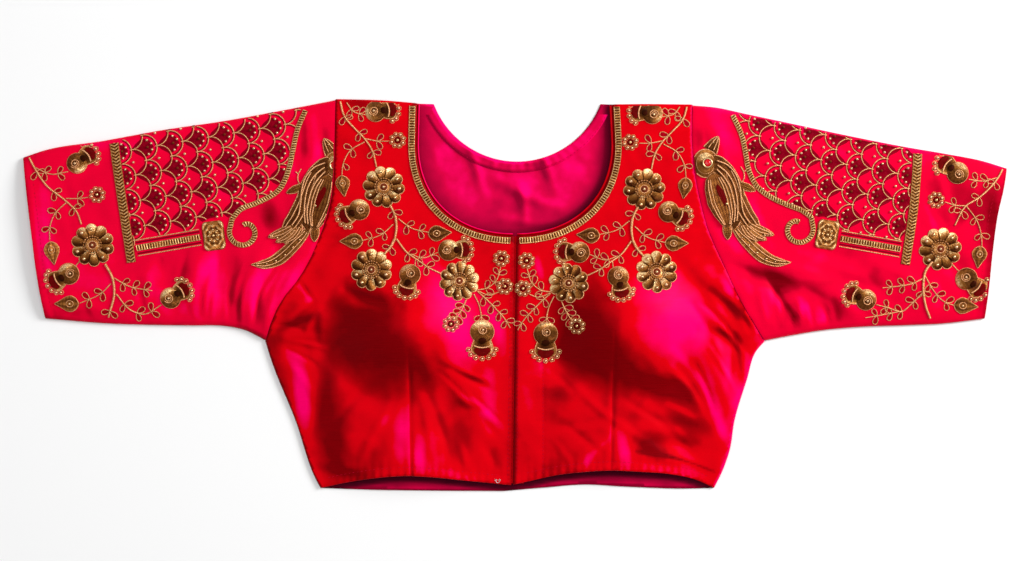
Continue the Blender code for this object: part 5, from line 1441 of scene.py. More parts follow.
def local_frame(motif):
    """A function from distances along and across a motif, from its stalk end, to plan points."""
    c, s = math.cos(math.radians(motif.turn)), math.sin(math.radians(motif.turn))
    start = np.array([motif.x - c * motif.size / 2, motif.y - s * motif.size / 2])

    def place(along, across):
        along, across = np.broadcast_arrays(np.asarray(along, float), np.asarray(across, float))
        return start + np.stack([c * along - s * across, s * along + c * across], axis=-1)

    return place


def make_bud(piece, ground, motif):
    """A round head with a curl of thread, a flared bell with a dark throat, and an arc of beads below."""
    place, size, strength = local_frame(motif), motif.size, motif.light[0]
    t = full_turn(36)
    share = np.linspace(0.0, 1.0, 12)
    half = size * np.interp(share, (0.0, 0.25, 0.5, 0.8, 1.0), (0.205, 0.2, 0.24, 0.27, 0.25))
    v = np.linspace(-1.0, 1.0, 17)
    mouth = 0.05 * (1.0 - v[None, :] ** 2) + 0.015 * np.cos(3 * math.pi * v[None, :])
    plan = place(size * (0.37 + share[:, None] * (0.41 + mouth)), half[:, None] * v[None, :])
    heights = 0.5 + (0.9 * np.sqrt(1.0 - 0.96 * v**2) - 0.4 * bell(v, 0.5))[None, :] * np.ones(12)[:, None]
    tone = (0.75 + 0.25 * np.cos(9 * math.pi * v)) * (0.1 + 0.9 * np.abs(v + 0.12) ** 2.4)
    shade = strength * tone[None, :] * (0.75 + 0.25 * share[:, None])
    piece.mound(ground.held(plan), heights, ground, "zari_padded", False, shade, half[:, None] * v[None, :])
    rim = np.vstack([plan[:, 0], plan[-1, 1:-1], plan[::-1, -1]])
    sewn_cord(piece, ground, even(rim, 1.1), 0.5, lift=1.2)
    throat = place(size * (0.73 + 0.1 * np.cos(t) + 0.03 * np.cos(2 * t)),
                   size * (0.2 + 0.03 * np.cos(t)) * np.sin(t))
    sewn_dome(piece, ground, throat, place(0.72 * size, 0.0), 1.25, 0.5, "throat_silk", thread=np.sin(t) * 4)
    lip = place(size * (0.66 - 0.05 * np.cos(t[:19]) ** 2), 0.2 * size * np.cos(t[:19]))
    sewn_cord(piece, ground, lip, 0.75, lift=2.3, shade=1.2)
    head = size * 0.275
    edge = place(head * (1.0 + np.cos(t)), head * 1.03 * np.sin(t))
    turn = t + math.radians(motif.turn)
    # painted highlight: a crescent of the head lit towards the light's direction, the rest shaded
    lit = np.maximum(np.cos(turn - math.radians(motif.light[1])), 0.0) ** 1.5
    crescent = lit[None, :] * np.linspace(0.3, 1.0, 8)[:, None] ** 2
    shade = strength * (0.24 + 1.35 * crescent + 0.06 * np.cos(13 * t)[None, :])
    sewn_dome(piece, ground, edge, place(head, 0.0), 1.0, 2.1, "zari_padded", shade, head * t, rows=8)
    sewn_cord(piece, ground, edge, 0.55, True)
    eye = place(size * 0.23, 0.02 * size)
    sewn_dome(piece, ground, ellipse(*eye, 3.3, 3.3, 0, 18), eye, 2.4, 0.4, "copper", rows=3)
    swirl = np.linspace(0.0, 1.0, 34)
    radius = 4.5 - 2.4 * swirl
    spin = math.pi + swirl * 3.1 * math.pi
    curl = place(size * 0.23 + radius * np.cos(spin), 0.02 * size + radius * np.sin(spin))
    sewn_cord(piece, ground, curl, 0.5, lift=5.9)
    sewn_bead(piece, ground, *eye, 1.4, "pearl", 2.4)
    core = place(size * (0.49 + 0.08 * np.cos(t)), size * 0.095 * np.sin(t))
    sewn_dome(piece, ground, core, place(0.49 * size, 0.0), 2.5, 0.8, "dark_core", rows=4)
    for k in range(7):
        angle = math.radians(-84 + 28 * k)
        spot = place(size * (0.68 + 0.25 * math.cos(angle)), size * 0.33 * math.sin(angle))
        sewn_cord(piece, ground, ellipse(*spot, 2.3, 2.1, 0, 12), 0.34, True, sides=5)
        sewn_bead(piece, ground, *spot, 1.5, "pearl" if k % 2 else "sequin", 0.9)


def outline_of(line, profile, half_width, points):
    """Along, across and plan points on both sides of a long shape."""
    line = smooth(line, 1.0) if len(line) > 2 else even(line, 1.0)
    share = np.linspace(0.0, 1.0, points)
    middle = read_line(share, np.linspace(0.0, 1.0, len(line)), line)
    width = half_width * np.interp(share, *zip(*profile))
    return middle, normals_of(middle), np.maximum(width, 0.12), share


def make_long(piece, ground, line, profile, half_width, lift, rise, light, ribs, finish="zari_padded",
              rim=0.5):
    """A padded leaf or feather with ribs along it and a thread round it."""
    middle, normal, width, share = outline_of(line, profile, half_width, 30)
    v = np.linspace(-1.0, 1.0, 15)
    plan = ground.held(middle[:, None] + (width[:, None] * v[None, :])[..., None] * normal[:, None])
    dome = np.sqrt(1.0 - 0.97 * v**2)
    rib = 0.5 + 0.5 * np.cos(2 * math.pi * ribs * v)
    ends = np.sin(math.pi * np.clip(share, 0.02, 0.98)) ** 0.35
    heights = lift + ends[:, None] * (rise * dome + 0.35 * rib)[None, :]
    beat = 0.8 + 0.2 * np.sin(share * 46.0)[:, None]
    # painted shade between the ribs
    shade = light * (0.3 + 0.75 * rib[None, :]) * beat
    thread = width[:, None] * v[None, :]
    piece.mound(plan, heights, ground, finish, False, shade, thread)
    if rim:
        left, right = middle + width[:, None] * normal, middle - width[:, None] * normal
        edge = even(np.vstack([left, right[::-1]]), 1.1)
        sewn_cord(piece, ground, edge, rim, lift=0.55 + 0.5 * lift / rim)


def make_leaf(piece, ground, motif):
    place, size = local_frame(motif), motif.size
    line = [tuple(place(0.0, 0.0)), tuple(place(size, 0.0))]
    make_long(piece, ground, line, LEAF_PROFILE, 0.33 * size, 0.5, 1.2, 0.62 * motif.light[0], 1.0)
    t = full_turn(18)
    ring = place(size * 0.36 + size * 0.15 * np.cos(t), size * 0.13 * np.sin(t))
    sewn_cord(piece, ground, ring, 0.42, True, lift=4.4)
    spot = place(size * 0.36, 0.0)
    sewn_dome(piece, ground, ring, spot, 1.2, 0.5, "copper", rows=4)
    sewn_bead(piece, ground, *spot, 1.2, "pearl", 1.9)


def mirrored(points, shift):
    """Points of one half of the blouse as they lie on the other."""
    return [(shift[0] - x, shift[1] + y) for x, y in points]


def make_parrot(piece, ground):
    """A parrot of overlapping padded feathers with thread worked along them."""

    def turned(points):
        return mirrored(points, RIGHT_PARROT_SHIFT) if ground.side == "right" else points

    for feather in PARROT:
        line = turned(feather.line)
        make_long(piece, ground, line, feather.profile, feather.half_width, feather.lift, 1.5,
                  feather.light, feather.ribs, rim=0.62)
        for share in feather.threads:
            middle, normal, width, _ = outline_of(line, feather.profile, share * feather.half_width, 30)
            for sign in (-1, 1):
                thread = middle[3:-2] + sign * width[3:-2, None] * normal[3:-2]
                lift = 2.6 + 1.5 * feather.lift
                sewn_cord(piece, ground, thread, 0.62, lift=lift, shade=1.1, pitch=1.8)
    for line in PARROT_LINES:
        thread = smooth(turned(line), 1.1)
        sewn_cord(piece, ground, thread, 0.75, lift=3.9, shade=1.15, pitch=1.8)
    make_long(piece, ground, turned(PARROT_CORE), FEATHER_PROFILE, 3.3, 3.1, 0.7, 1.0, 1.5, "throat_silk")
    x, y, across, along = PARROT_HEAD
    ((x, y),) = turned([(x, y)])
    t = full_turn(40)
    edge = ellipse(x, y, across, along, 0, 40)
    for share, lift, strength in ((1.0, 0.9, 0.5), (0.74, 1.9, 0.95)):
        rim = np.array([x, y]) + share * (edge - np.array([x, y]))
        # painted light: one side of each dome lit, the rest shaded
        light = strength * (0.3 + 0.7 * np.maximum(np.sin(t - 0.15), -0.5 * np.sin(t)) ** 2)
        sewn_dome(piece, ground, rim, (x, y), lift, 1.3, "zari_padded", light, across * t)
        sewn_cord(piece, ground, rim, 0.52, True, lift=0.6 + lift)
    (eye,) = turned([PARROT_EYE])
    sewn_cord(piece, ground, ellipse(*eye, 4.2, 4.2, 0, 24), 0.8, True, lift=5.0, finish="sequin")
    sewn_dome(piece, ground, ellipse(*eye, 3.6, 3.6, 0, 20), eye, 3.4, 1.3, "eye_stone", rows=5)
    for x, y, size in PARROT_BEADS:
        ((x, y),) = turned([(x, y)])
        sewn_bead(piece, ground, x, y, size, "sequin", 2.9)
    make_long(piece, ground, turned(PARROT_PERCH), TAIL_PROFILE, 3.4, 0.3, 1.4, 0.45, 1.5)
    for line in PARROT_BRIDGES:
        sewn_cord(piece, ground, smooth(turned(line), 1.0), 0.6, lift=0.7)


# Braids: how high the rails and the rungs stand, at a length s along and a share v of the half width, and how
# deep their relief is
RIBS = {
    "ladder": lambda s, v: (bell(np.abs(v) - 0.84, 0.13), cosine_wave(s / 2.5) ** 2.0, 0.6),
    "plait": lambda s, v: (0.8 * bell(np.abs(v) - 0.88, 0.1),
                           cosine_wave(s / 3.1 + 0.8 * np.abs(v)) ** 1.2, 0.8),
    "rope": lambda s, v: (0.75 * bell(np.abs(v) - 0.86, 0.16),
                          cosine_wave(s / 2.4 + 0.3 * v) ** 1.2, 0.7),
}


def cosine_wave(turns):
    """A cosine of full turns, from 0 to 1."""
    return 0.5 + 0.5 * np.cos(2 * math.pi * turns)


def make_braid(piece, ground, line, width, style, light=0.95):
    """A braid of even width along a line, with the stitches of its style."""
    line = even(line, 0.6)
    along = np.arange(len(line)) * 0.6
    normal = normals_of(line)
    v = np.linspace(-1.0, 1.0, 15)
    plan = line[:, None] + (0.5 * width * v)[None, :, None] * normal[:, None]
    rails, rungs, depth = RIBS[style](along[:, None], v[None, :])
    raised = np.maximum(rails, rungs * (1.0 - 0.5 * v[None, :] ** 4))
    heights = 0.45 + 0.5 * (1.0 - v[None, :] ** 4) + depth * raised
    # painted shade in the holes between the rails and the rungs
    shade = light * np.clip(1.2 * raised - 0.1, 0.0, 1.0)
    thread = along[:, None] + 0.3 * v[None, :]
    piece.mound(ground.held(plan), heights, ground, "zari_braid", False, shade, thread)


def scroll_line(side):
    centre = SLEEVES[side].scroll
    share = np.linspace(0.0, 1.0, 60)
    turn = np.radians(SCROLL_TURNS[0] + share * (SCROLL_TURNS[1] - SCROLL_TURNS[0]))
    radius = SCROLL_RADII[0] + share**SCROLL_CURL * (SCROLL_RADII[1] - SCROLL_RADII[0])
    away = SIDES[side] * radius * np.cos(turn)
    return np.column_stack([centre[0] - away, centre[1] + radius * np.sin(turn)])


def make_square(piece, ground, side):
    """The knotted square that clasps the bar and the scroll."""
    panel = SLEEVES[side]
    u, v = np.meshgrid(np.linspace(-1, 1, 34), np.linspace(-1, 1, 44), indexing="ij")
    corner = np.maximum(np.abs(u) + np.abs(v) - 1.72, 0.0)
    x, y = u * (SQUARE_SIZE[0] / 2 - 4 * corner), v * (SQUARE_SIZE[1] / 2 - 5 * corner)
    turn = math.radians(panel.square_turn)
    plan = np.stack([panel.square[0] + x * math.cos(turn) - y * math.sin(turn),
                     panel.square[1] + x * math.sin(turn) + y * math.cos(turn)], axis=-1)
    far, round_angle = np.hypot(x, 0.8 * y), np.arctan2(0.8 * y, x)
    star = 0.5 + 0.5 * np.cos(8 * round_angle)
    knots = 0.5 + 0.5 * np.cos(1.5 * far + 1.4 * star)
    square = np.maximum(np.abs(u), np.abs(v))
    edge = 1.0 - square**8
    rim = bell(square - 0.88, 0.07)
    heights = 0.6 + edge * (0.9 + 0.9 * knots + 0.4 * star) + 0.5 * rim
    # painted shade between the knots, its rim lit
    shade = np.clip(0.1 + 0.45 * knots + 0.3 * star * knots + 0.4 * rim, 0.0, 1.0)
    piece.mound(plan, heights, ground, "zari_braid", False, shade, x + y)
    for angle in full_turn(8) + turn:
        x, y = panel.square[0] + 5.0 * math.cos(angle), panel.square[1] + 1.15 * 5.0 * math.sin(angle)
        piece.bead(x, y, ground, 1.05, "sequin", 2.4)
    piece.bead(*panel.square, ground, 1.5, "sequin", 2.4)


def make_panel(side):
    """The band, bar, square and the border that runs on into the scroll, which frame the scales, each in
    place of its own solid.
    """
    ground, panel = Ground("sleeve", side), SLEEVES[side]
    border = np.vstack([smooth(panel.border, 2.0), scroll_line(side)])
    braids = {
        "cuff_band": (smooth(panel.band, 2.0), BAND_WIDTH, "plait", 0.8),
        "panel_bar": (smooth(panel.bar, 2.0), BAR_WIDTH, "ladder", 0.95),
        "panel_border": (border, BORDER_WIDTH, "rope", 0.95),
    }
    for name, (line, width, style, light) in braids.items():
        piece = Piece(f"zari_{name}_{side}", "gold_embroidery", [f"{name}_{side}"])
        make_braid(piece, ground, line, width, style, light)
        if name == "panel_bar":
            line = even(line, 3.0)
            normal = normals_of(line)
            for away in (-BAR_RAIL, BAR_RAIL):
                sewn_cord(piece, ground, even(line + away * normal, 1.3), 0.55)
            # dark silk lines sunk beside the bar as painted shade
            for away in (-BAR_SHADE_LINE, BAR_SHADE_LINE):
                piece.cord(even(line + away * normal, 1.3), ground, 1.2, "dark_silk_and_painted_shade", -0.7, sides=8)
        piece.make()
    piece = Piece("zari_square_" + side, "gold_embroidery", ["panel_square_" + side])
    make_square(piece, ground, side)
    piece.make()


def panel_outline(side):
    """The outline of the area that the scales fill."""
    panel, sign = SLEEVES[side], SIDES[side]
    band = smooth(panel.band, 6.0)
    band = band - sign * np.array([BAND_WIDTH / 2 + 0.4, 0.0])
    bar = smooth(panel.bar, 6.0) + np.array([0.0, 8.0])
    top = smooth(LINES[side]["sleeve_top"], 6.0)
    border = smooth(panel.border, 4.0)[::-1] + sign * np.array([BORDER_WIDTH / 2 + 0.3, 0.0])
    top = top[(sign * top[:, 0] > sign * border[-1][0]) & (sign * top[:, 0] < sign * band[0][0])]
    square = [(panel.square[0] + sign * 8.0, panel.square[1] + 15.0), (panel.square[0] - sign * 4, 74.0)]
    top = top[np.argsort(sign * top[:, 0])]
    return np.vstack([band, bar, square, border, top - np.array([0.0, 1.6])])


def make_scales(side):
    """The net of fish scales: arcs of twisted thread, with one pearl or a handful of beads in each."""
    ground, panel = Ground("sleeve", side), SLEEVES[side]
    outline = panel_outline(side)
    piece = Piece("zari_scales_" + side, "gold_embroidery")
    along, down = np.array(panel.scale_along), np.array(panel.scale_down)
    facing = math.atan2(abs(along[1]), -along[0])
    arc = facing + np.radians(np.linspace(-96.0, 96.0, 30))
    for i in range(-5, 6):
        for j in range(-4, 7):
            for beaded in (False, True):
                centre = np.array(panel.scale_start) + (i + 0.5 * beaded) * along + (j + 0.5 * beaded) * down
                line = centre + SCALE_RADIUS * np.column_stack([np.cos(arc), np.sin(arc)])
                keep = inside(line[:, 0], line[:, 1], outline) & ground.lies_on(line)
                for part in runs(line, keep):
                    piece.cord(part, ground, 0.54, "zari_thread", 0.8, pitch=1.5)
                    inner = centre + (part - centre) * (1.0 - 1.15 / SCALE_RADIUS)
                    # a dark silk line just inside each arc, as its painted shadow
                    piece.cord(inner, ground, 0.5, "dark_silk_and_painted_shade", 0.15, sides=5)
                if beaded:
                    fill_scale(piece, ground, centre, facing, outline)
                elif inside(centre[:1], centre[1:], outline)[0]:
                    piece.bead(*centre, ground, 1.35, "pearl", 0.8)
    return piece.make()


def fill_scale(piece, ground, centre, facing, outline):
    """Dark silk and beads on one scale."""
    ahead = np.array([math.cos(facing), math.sin(facing)])
    x, y = centre - 1.5 * ahead
    patch = np.array([(10.5, 0), (7, 7), (0, 9.4), (-7.5, 4.0), (-10.5, 0), (-7.5, -4.0), (0, -9.4),
                      (7, -7)], float)
    patch = even(np.vstack([patch, patch[:1]]), 2.2)[:-1]
    edge = np.column_stack([x + patch[:, 0] * ahead[0] - patch[:, 1] * ahead[1],
                            y + patch[:, 0] * ahead[1] + patch[:, 1] * ahead[0]])
    turns = facing + np.radians([-62, -22, 22, 62, 0])
    reaches = np.array([7.6, 7.9, 7.9, 7.6, 3.4])
    spots = centre + np.column_stack([reaches * np.cos(turns), reaches * np.sin(turns)])
    held = inside(spots[:, 0], spots[:, 1], outline) & ground.lies_on(spots)
    heart = spots[held].mean(0) if held.any() else None
    if inside(centre[:1], centre[1:], outline)[0]:
        heart = centre
    if heart is not None:
        for _ in range(24):
            beyond = ~(inside(edge[:, 0], edge[:, 1], outline) & ground.lies_on(edge))
            edge[beyond] = heart + 0.86 * (edge[beyond] - heart)
        sewn_dome(piece, ground, edge, heart, 0.1, 0.3, "dark_silk_and_painted_shade", thread=patch[:, 1], rows=4)
    for k in np.flatnonzero(held):
        piece.bead(*spots[k], ground, 1.3, "pearl" if k < 4 else "copper", 1.0)


def make_vine(piece, ground, vine):
    """A stem of twisted thread with pairs of looped leaflets."""
    line = smooth(vine.line, 1.1) if len(vine.line) > 2 else even(vine.line, 1.1)
    taper = vine.radius * np.linspace(1.08, 0.85, len(line)) * (1.25 if vine.radius > 0.65 else 1.05)
    keep = ground.lies_on(line)
    for part in runs(line, keep):
        piece.cord(part, ground, taper[: len(part)], "zari_thread", 0.7, pitch=2.2)
    total = len(line) - 1
    for k in range(vine.pairs):
        at = int(total * (k + 0.85) / (vine.pairs + 0.55))
        heading = line[min(at + 1, total)] - line[max(at - 1, 0)]
        base = math.degrees(math.atan2(heading[1], heading[0]))
        for sign in (-1, 1):
            length = LEAFLET_LENGTH + 0.6 * math.sin(7.3 * k + sign + line[0][0])
            turn = base + sign * (LEAFLET_SPREAD + 7.0 * math.sin(3.1 * k + line[0][1]))
            make_leaflet(piece, ground, line[at], turn, length)


def make_leaflet(piece, ground, foot, turn, length):
    t = full_turn(14)
    along = 0.5 * length * (1.0 - np.cos(t)) + 0.6
    across = 0.3 * length * np.sin(t) * (1.0 - 0.3 * np.cos(t))
    c, s = math.cos(math.radians(turn)), math.sin(math.radians(turn))
    loop = np.column_stack([foot[0] + c * along - s * across, foot[1] + s * along + c * across])
    if ground.lies_on(loop).all():
        piece.cord(loop, ground, 0.4, "zari_thread", 0.8, True, 6)
        sewn_dome(piece, ground, loop, loop.mean(0), 0.05, 0.3, "leaf_silk", thread=across, rows=3)


def make_bead_flower(piece, ground, x, y):
    for turn in full_turn(8) + 0.3:
        spot = x + BEAD_FLOWER_RADIUS * math.cos(turn), y + BEAD_FLOWER_RADIUS * math.sin(turn)
        ring = ellipse(*spot, 2.3, 2.1, 0, 12)
        sewn_cord(piece, ground, ring, 0.34, True, sides=5, shade=0.8)
        sewn_bead(piece, ground, *spot, 1.55, "pearl", 0.9)
    sewn_dome(piece, ground, ellipse(x, y, 3.2, 3.2, 0, 16), (x, y), 0.1, 0.3, "throat_silk", rows=3)
    sewn_bead(piece, ground, x, y, 1.6, "sequin", 0.9)


def motifs_of(side, group):
    if group == "sleeve":
        return SLEEVE_MOTIFS[side]
    if side == "right":
        return FRONT_MOTIFS
    return [Motif(m.kind, *mirrored([(m.x, m.y)], FRONT_SHIFT)[0], m.size, 180.0 - m.turn,
                  (light, 180.0 - m.light[1])) for m, light in zip(FRONT_MOTIFS, LEFT_LIGHTS)]


def make_motifs():
    makers = {"flower": make_flower, "bud": make_bud, "leaf": make_leaf}
    for side in SIDES:
        for group in ("front", "sleeve"):
            ground = Ground(group, side)
            made = dict.fromkeys(makers, 0)
            for motif in motifs_of(side, group):
                made[motif.kind] += 1
                node = f"{motif.kind}_{group}_{side}_{made[motif.kind]}"
                piece = Piece("zari_" + node, "gold_embroidery", [node])
                makers[motif.kind](piece, ground, motif)
                piece.make()


def make_vines(side, group):
    ground = Ground(group, side)
    piece = Piece(f"zari_vines_{group}_{side}", "gold_embroidery")
    vines = SLEEVE_VINES[side] if group == "sleeve" else FRONT_VINES
    spots = SLEEVE_BEAD_FLOWERS[side] if group == "sleeve" else FRONT_BEAD_FLOWERS
    if group == "front" and side == "left":
        vines = [Vine(vine.radius, vine.pairs, mirrored(vine.line, FRONT_SHIFT)) for vine in vines]
        spots = mirrored(spots, FRONT_SHIFT)
    for vine in vines:
        make_vine(piece, ground, vine)
    for x, y in spots:
        make_bead_flower(piece, ground, x, y)
    return piece.make()


# Sewing


def make_piping(side):
    """The round binding of a front neck edge, and the gold braid beside it."""
    line = even(front_neck(side, PIPING_RADIUS, 1.0)[:-1], 1.5)
    z = relief("front", side).bottom(line[:, 0] * 1.02, line[:, 1] - 1.5) + CLOTH / 2
    piece = Piece("satin_piping_" + side, "neck_binding", ["neck_piping_" + side])
    along = np.arange(len(line)) * 1.5
    turns = -math.pi / 2 + full_turn(PIPING_SIDES)
    # painted shade on one side of the piping, the other side lit
    shade = np.tile(np.clip(0.3 - 1.2 * SIDES[side] * np.cos(turns), 0.16, 1.0), len(line))
    radius = PIPING_RADIUS * (1.0 + 0.05 * np.sin(along / 2.1))
    piece.tube(np.column_stack([line, z]), radius, "satin_binding", PIPING_SIDES, shade=shade)
    piece.make()
    braid = Piece("zari_neck_braid_" + side, "gold_embroidery", ["neck_braid_" + side])
    line = front_neck(side, BRAID_OFFSET, 1.0)[2:-2]
    make_braid(braid, Ground("front", side), line, BRAID_WIDTH, "ladder")
    braid.make()


def stitch_row(piece, cloth, line, length=2.3, gap=1.5, radius=0.26, finish="stitch"):
    """A row of short straight stitches, each sunk at its ends."""
    line = even(line, 0.5)
    count, pitch = max(3, round(length / 0.5)), round((length + gap) / 0.5)
    for start in range(2, len(line) - count, pitch):
        part = line[start:start + count]
        bow = radius * np.sin(math.pi * np.linspace(0.0, 1.0, len(part)))
        z = cloth.top(part[:, 0], part[:, 1]) - 0.1 + bow
        piece.tube(np.column_stack([part, z]), radius, finish, 5)


def make_stitching():
    piece = Piece("seam_stitching", "satin")
    for side, sign in SIDES.items():
        front, sleeve = relief("front", side), relief("sleeve", side)
        hem = smooth(LINES[side]["front_hem"], 2.0)
        hem = hem[sign * (hem[:, 0] - opening_x(hem[:, 1])) > 6.0]
        stitch_row(piece, front, hem[3:-2] + np.array([0.0, STITCH_INSET]), radius=0.2)
        cuff = smooth(LINES[side]["cuff"], 2.0)
        stitch_row(piece, sleeve, cuff[4:-4] - np.array([sign * STITCH_INSET, 0.0]))
        ys = np.linspace(-172.0, 40.0, 100)
        stitch_row(piece, front, np.column_stack([opening_x(ys) + sign * 4.2, ys]), 2.0, 1.8, 0.2)
    seam_x, low_y, high_y = PLACKET_SEAM
    stitch_row(piece, relief("front", "left"), [(seam_x, low_y + 6.0), (seam_x, high_y)], 2.0, 1.6, 0.2)
    piece.make()
    facing = Piece("facing_stitching", "neck_binding")
    arc = back_neck(FACING_WIDTH - 1.4, 1.0)
    arc = arc[arc[:, 1] < FACING_TOP_Y - 2.0]
    stitch_row(facing, Lifted(relief("back"), CLOTH + 1.0), arc, finish="lining_stitch")
    facing.make()


def make_hook():
    """The hem's hook, of which a glint shows."""
    cloth = relief("front", "right")
    piece = Piece("hem_hook", "neck_binding")
    x, y = HOOK
    t = np.linspace(-0.3, math.pi + 0.3, 14)
    bow = np.column_stack([x + 1.5 * np.cos(t), y - 1.7 * np.sin(t)])
    piece.cord(bow, cloth, 0.34, "steel", 0.9)
    for away in (-1.7, 1.7):
        piece.cord(ellipse(x + away, y + 0.8, 0.9, 0.9, 0, 12), cloth, 0.28, "steel", 0.9, True)
    return piece.make()


# Stage


def make_stage():
    settings = scene_settings()
    floor = Finish("pale_floor", Roughness=0.9)
    tone = tuple(settings.floor)
    shares = floor.noise(3.0, 2.0) * 0.06
    floor.feed(Base_Color=floor.mix(shares, rgba(tone), rgba(dimmed(tone, 0.96))))
    mesh = bpy.data.meshes.new("floor")
    corners = [(-FLOOR_REACH, -FLOOR_REACH), (FLOOR_REACH, -FLOOR_REACH), (FLOOR_REACH, FLOOR_REACH),
               (-FLOOR_REACH, FLOOR_REACH)]
    mesh.from_pydata([(x, y, FLOOR_Z) for x, y in corners], [], [(0, 1, 2, 3)])
    mesh.materials.append(floor.material)
    item = bpy.data.objects.new("floor", mesh)
    bpy.context.scene.collection.objects.link(item)
    lamps = (
        ("key_light", (1.9, 0.95, 1.35), 1.1, settings.key_light),
        ("top_light", (-0.25, 0.3, 2.6), 2.2, settings.top_light),
        ("left_light", (-2.0, -0.7, 1.4), 1.4, settings.fill_light),
    )
    for name, place, size, power in lamps:
        data = bpy.data.lights.new(name, "AREA")
        data.size, data.energy = size, power
        lamp = bpy.data.objects.new(name, data)
        lamp.location = place
        lamp.rotation_euler = Vector(place).to_track_quat("Z", "Y").to_euler()
        bpy.context.scene.collection.objects.link(lamp)
    world = bpy.context.scene.world or bpy.data.worlds.new("world")
    bpy.context.scene.world = world
    world.use_nodes = True
    background = world.node_tree.nodes["Background"]
    background.inputs["Color"].default_value = (1.0, 1.0, 1.0, 1.0)
    background.inputs["Strength"].default_value = settings.room_light
    data = bpy.data.cameras.new("camera")
    data.lens, data.sensor_width = CAMERA_LENS, 36.0
    camera = bpy.data.objects.new("camera", data)
    camera.location = CAMERA_PLACE
    bpy.context.scene.collection.objects.link(camera)
    bpy.context.scene.camera = camera
    bpy.context.scene.view_settings.view_transform = "Standard"


# Add-on


COLOUR = {"subtype": "COLOR", "min": 0.0, "max": 1.0}
LEAN = {"min": -0.5, "max": 0.5}
POWER = {"min": 0.0, "unit": "POWER"}


class CholiSettings(bpy.types.PropertyGroup):
    """Sizes and colours that a user would change."""

    cloth_step: bpy.props.FloatProperty(
        name="Cloth mesh size", description="Distance between the points of the satin's mesh",
        default=0.0024, min=0.0015, max=0.01, unit="LENGTH")
    wrinkles: bpy.props.FloatProperty(
        name="Wrinkle depth", description="Share of the folds' and ripples' full height",
        default=1.0, min=0.0, max=1.5)
    satin_red: bpy.props.FloatVectorProperty(
        name="Satin red", description="Colour of level satin on the fronts", default=RED, **COLOUR)
    satin_crimson: bpy.props.FloatVectorProperty(
        name="Satin crimson", description="Colour of level satin on the sleeves", default=CRIMSON, **COLOUR)
    # painted highlight: the colour of satin facing the key light
    satin_painted_highlight: bpy.props.FloatVectorProperty(
        name="Satin pink", description="Colour of satin that leans to the right",
        default=(0.95, 0.0, 0.14), **COLOUR)
    # painted shade: the colour of satin facing away from the key light
    satin_shade: bpy.props.FloatVectorProperty(
        name="Satin shade", description="Colour of satin that leans to the left",
        default=(0.13, 0.0, 0.001), **COLOUR)
    front_lean: bpy.props.FloatProperty(
        name="Pink in the fronts", description="Shift of the fronts' colour to pink", default=0.0, **LEAN)
    sleeve_lean: bpy.props.FloatProperty(
        name="Pink in the sleeves", description="Shift of the sleeves' colour to pink", default=0.04, **LEAN)
    lining: bpy.props.FloatVectorProperty(
        name="Lining", description="Colour of the lining and the inside of the back",
        default=(0.60, 0.0, 0.045), **COLOUR)
    # the gold where the painted light on the stitches is brightest
    gold: bpy.props.FloatVectorProperty(
        name="Gold", description="Colour of padded metal stitches where they stand proud",
        default=(1.0, 0.73, 0.36), **COLOUR)
    gold_thread: bpy.props.FloatVectorProperty(
        name="Gold thread", description="Colour of the twisted threads that outline",
        default=(0.82, 0.41, 0.20), **COLOUR)
    gold_brown: bpy.props.FloatVectorProperty(
        name="Gold in shade", description="Colour of metal stitches that turn from the light",
        default=(0.41, 0.15, 0.030), **COLOUR)
    # painted shade between the metal stitches
    gold_painted_shade: bpy.props.FloatVectorProperty(
        name="Gold recess", description="Colour between the metal stitches",
        default=(0.055, 0.009, 0.001), **COLOUR)
    floor: bpy.props.FloatVectorProperty(
        name="Floor", description="Colour of the floor", default=(0.86, 0.86, 0.86), **COLOUR)
    key_light: bpy.props.FloatProperty(
        name="Key light", description="Strength of the light at the right", default=66.0, **POWER)
    top_light: bpy.props.FloatProperty(
        name="Top light", description="Strength of the light overhead", default=30.0, **POWER)
    fill_light: bpy.props.FloatProperty(
        name="Fill light", description="Strength of the light at the left", default=5.0, **POWER)
    room_light: bpy.props.FloatProperty(
        name="Room light", description="Brightness of the surroundings", default=0.34, min=0.0)


class CHOLI_OT_fronts(bpy.types.Operator):
    """Build the two padded fronts"""

    bl_idname = "choli.fronts"
    bl_label = "Fronts"

    def execute(self, context):
        for side in SIDES:
            front = make_front(side)
        return {"FINISHED"}


class CHOLI_OT_sleeves(bpy.types.Operator):
    """Build the two flattened sleeves"""

    bl_idname = "choli.sleeves"
    bl_label = "Sleeves"

    def execute(self, context):
        for side in SIDES:
            sleeve = make_sleeve(side)
        return {"FINISHED"}


class CHOLI_OT_back(bpy.types.Operator):
    """Build the back, its neck facing and the strip behind the opening"""

    bl_idname = "choli.back"
    bl_label = "Back"

    def execute(self, context):
        back = make_back()
        facing = make_facing()
        strip = make_hook_strip()
        return {"FINISHED"}


class CHOLI_OT_neck(bpy.types.Operator):
    """Build the neck's piping and gold braid"""

    bl_idname = "choli.neck"
    bl_label = "Neck edges"

    def execute(self, context):
        for side in SIDES:
            make_piping(side)
        return {"FINISHED"}


class CHOLI_OT_flowers(bpy.types.Operator):
    """Build the padded flowers, buds and leaves"""

    bl_idname = "choli.flowers"
    bl_label = "Flowers, buds and leaves"

    def execute(self, context):
        make_motifs()
        return {"FINISHED"}


class CHOLI_OT_vines(bpy.types.Operator):
    """Build the vines with their leaflets and bead flowers"""

    bl_idname = "choli.vines"
    bl_label = "Vines"

    def execute(self, context):
        for side in SIDES:
            for group in ("front", "sleeve"):
                make_vines(side, group)
        return {"FINISHED"}


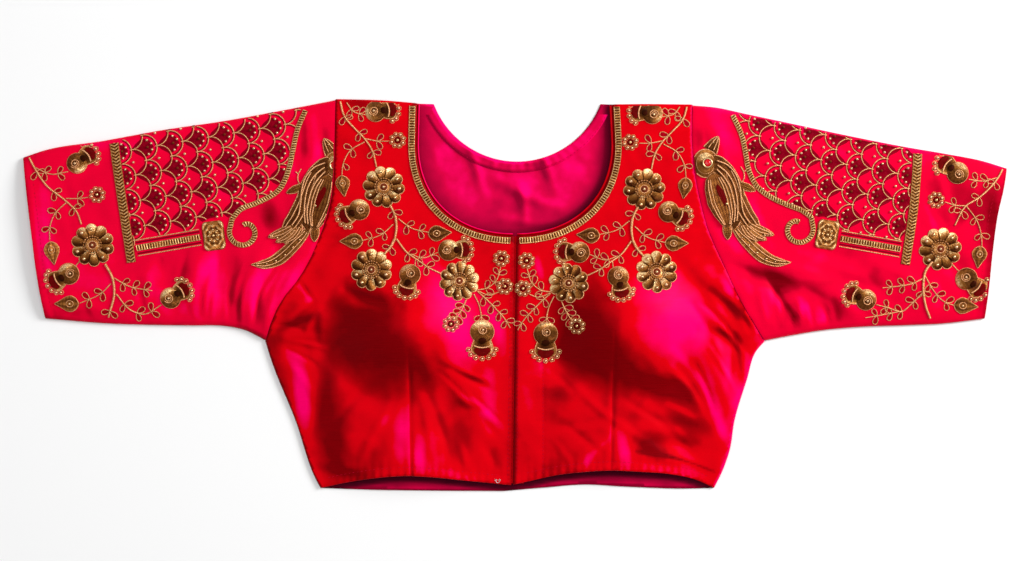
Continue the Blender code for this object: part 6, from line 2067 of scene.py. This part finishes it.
class CHOLI_OT_panels(bpy.types.Operator):
    """Build the sleeves' braids, squares and fish scales"""

    bl_idname = "choli.panels"
    bl_label = "Sleeve panels"

    def execute(self, context):
        for side in SIDES:
            make_panel(side)
            make_scales(side)
        return {"FINISHED"}


class CHOLI_OT_parrots(bpy.types.Operator):
    """Build the padded parrots"""

    bl_idname = "choli.parrots"
    bl_label = "Parrots"

    def execute(self, context):
        for side in SIDES:
            piece = Piece("zari_parrot_" + side, "gold_embroidery", ["parrot_" + side])
            make_parrot(piece, Ground("sleeve", side))
            piece.make()
        return {"FINISHED"}


class CHOLI_OT_sewing(bpy.types.Operator):
    """Build the rows of stitching and the hem's hook"""

    bl_idname = "choli.sewing"
    bl_label = "Stitching"

    def execute(self, context):
        make_stitching()
        make_hook()
        return {"FINISHED"}


class CHOLI_OT_stage(bpy.types.Operator):
    """Set up the floor, the lights and the camera"""

    bl_idname = "choli.stage"
    bl_label = "Stage"

    def execute(self, context):
        make_stage()
        return {"FINISHED"}


STEPS = (CHOLI_OT_stage, CHOLI_OT_fronts, CHOLI_OT_sleeves, CHOLI_OT_back, CHOLI_OT_neck, CHOLI_OT_flowers,
         CHOLI_OT_vines, CHOLI_OT_panels, CHOLI_OT_parrots, CHOLI_OT_sewing)


class CHOLI_PT_panel(bpy.types.Panel):
    """Lists the steps and the settings"""

    bl_label = "Choli Blouse"
    bl_idname = "CHOLI_PT_panel"
    bl_space_type = "VIEW_3D"
    bl_region_type = "UI"
    bl_category = "Choli"

    def draw(self, context):
        for step in STEPS:
            self.layout.operator(step.bl_idname)
        for name in CholiSettings.__annotations__:
            self.layout.prop(context.scene.choli, name)


CLASSES = (CholiSettings, *STEPS, CHOLI_PT_panel)


def register():
    for item in CLASSES:
        bpy.utils.register_class(item)
    bpy.types.Scene.choli = bpy.props.PointerProperty(type=CholiSettings)


def unregister():
    del bpy.types.Scene.choli
    for item in reversed(CLASSES):
        bpy.utils.unregister_class(item)


def main():
    register()
    for step in STEPS:
        family, name = step.bl_idname.split(".")
        getattr(getattr(bpy.ops, family), name)()


if __name__ == "__main__":
    main()
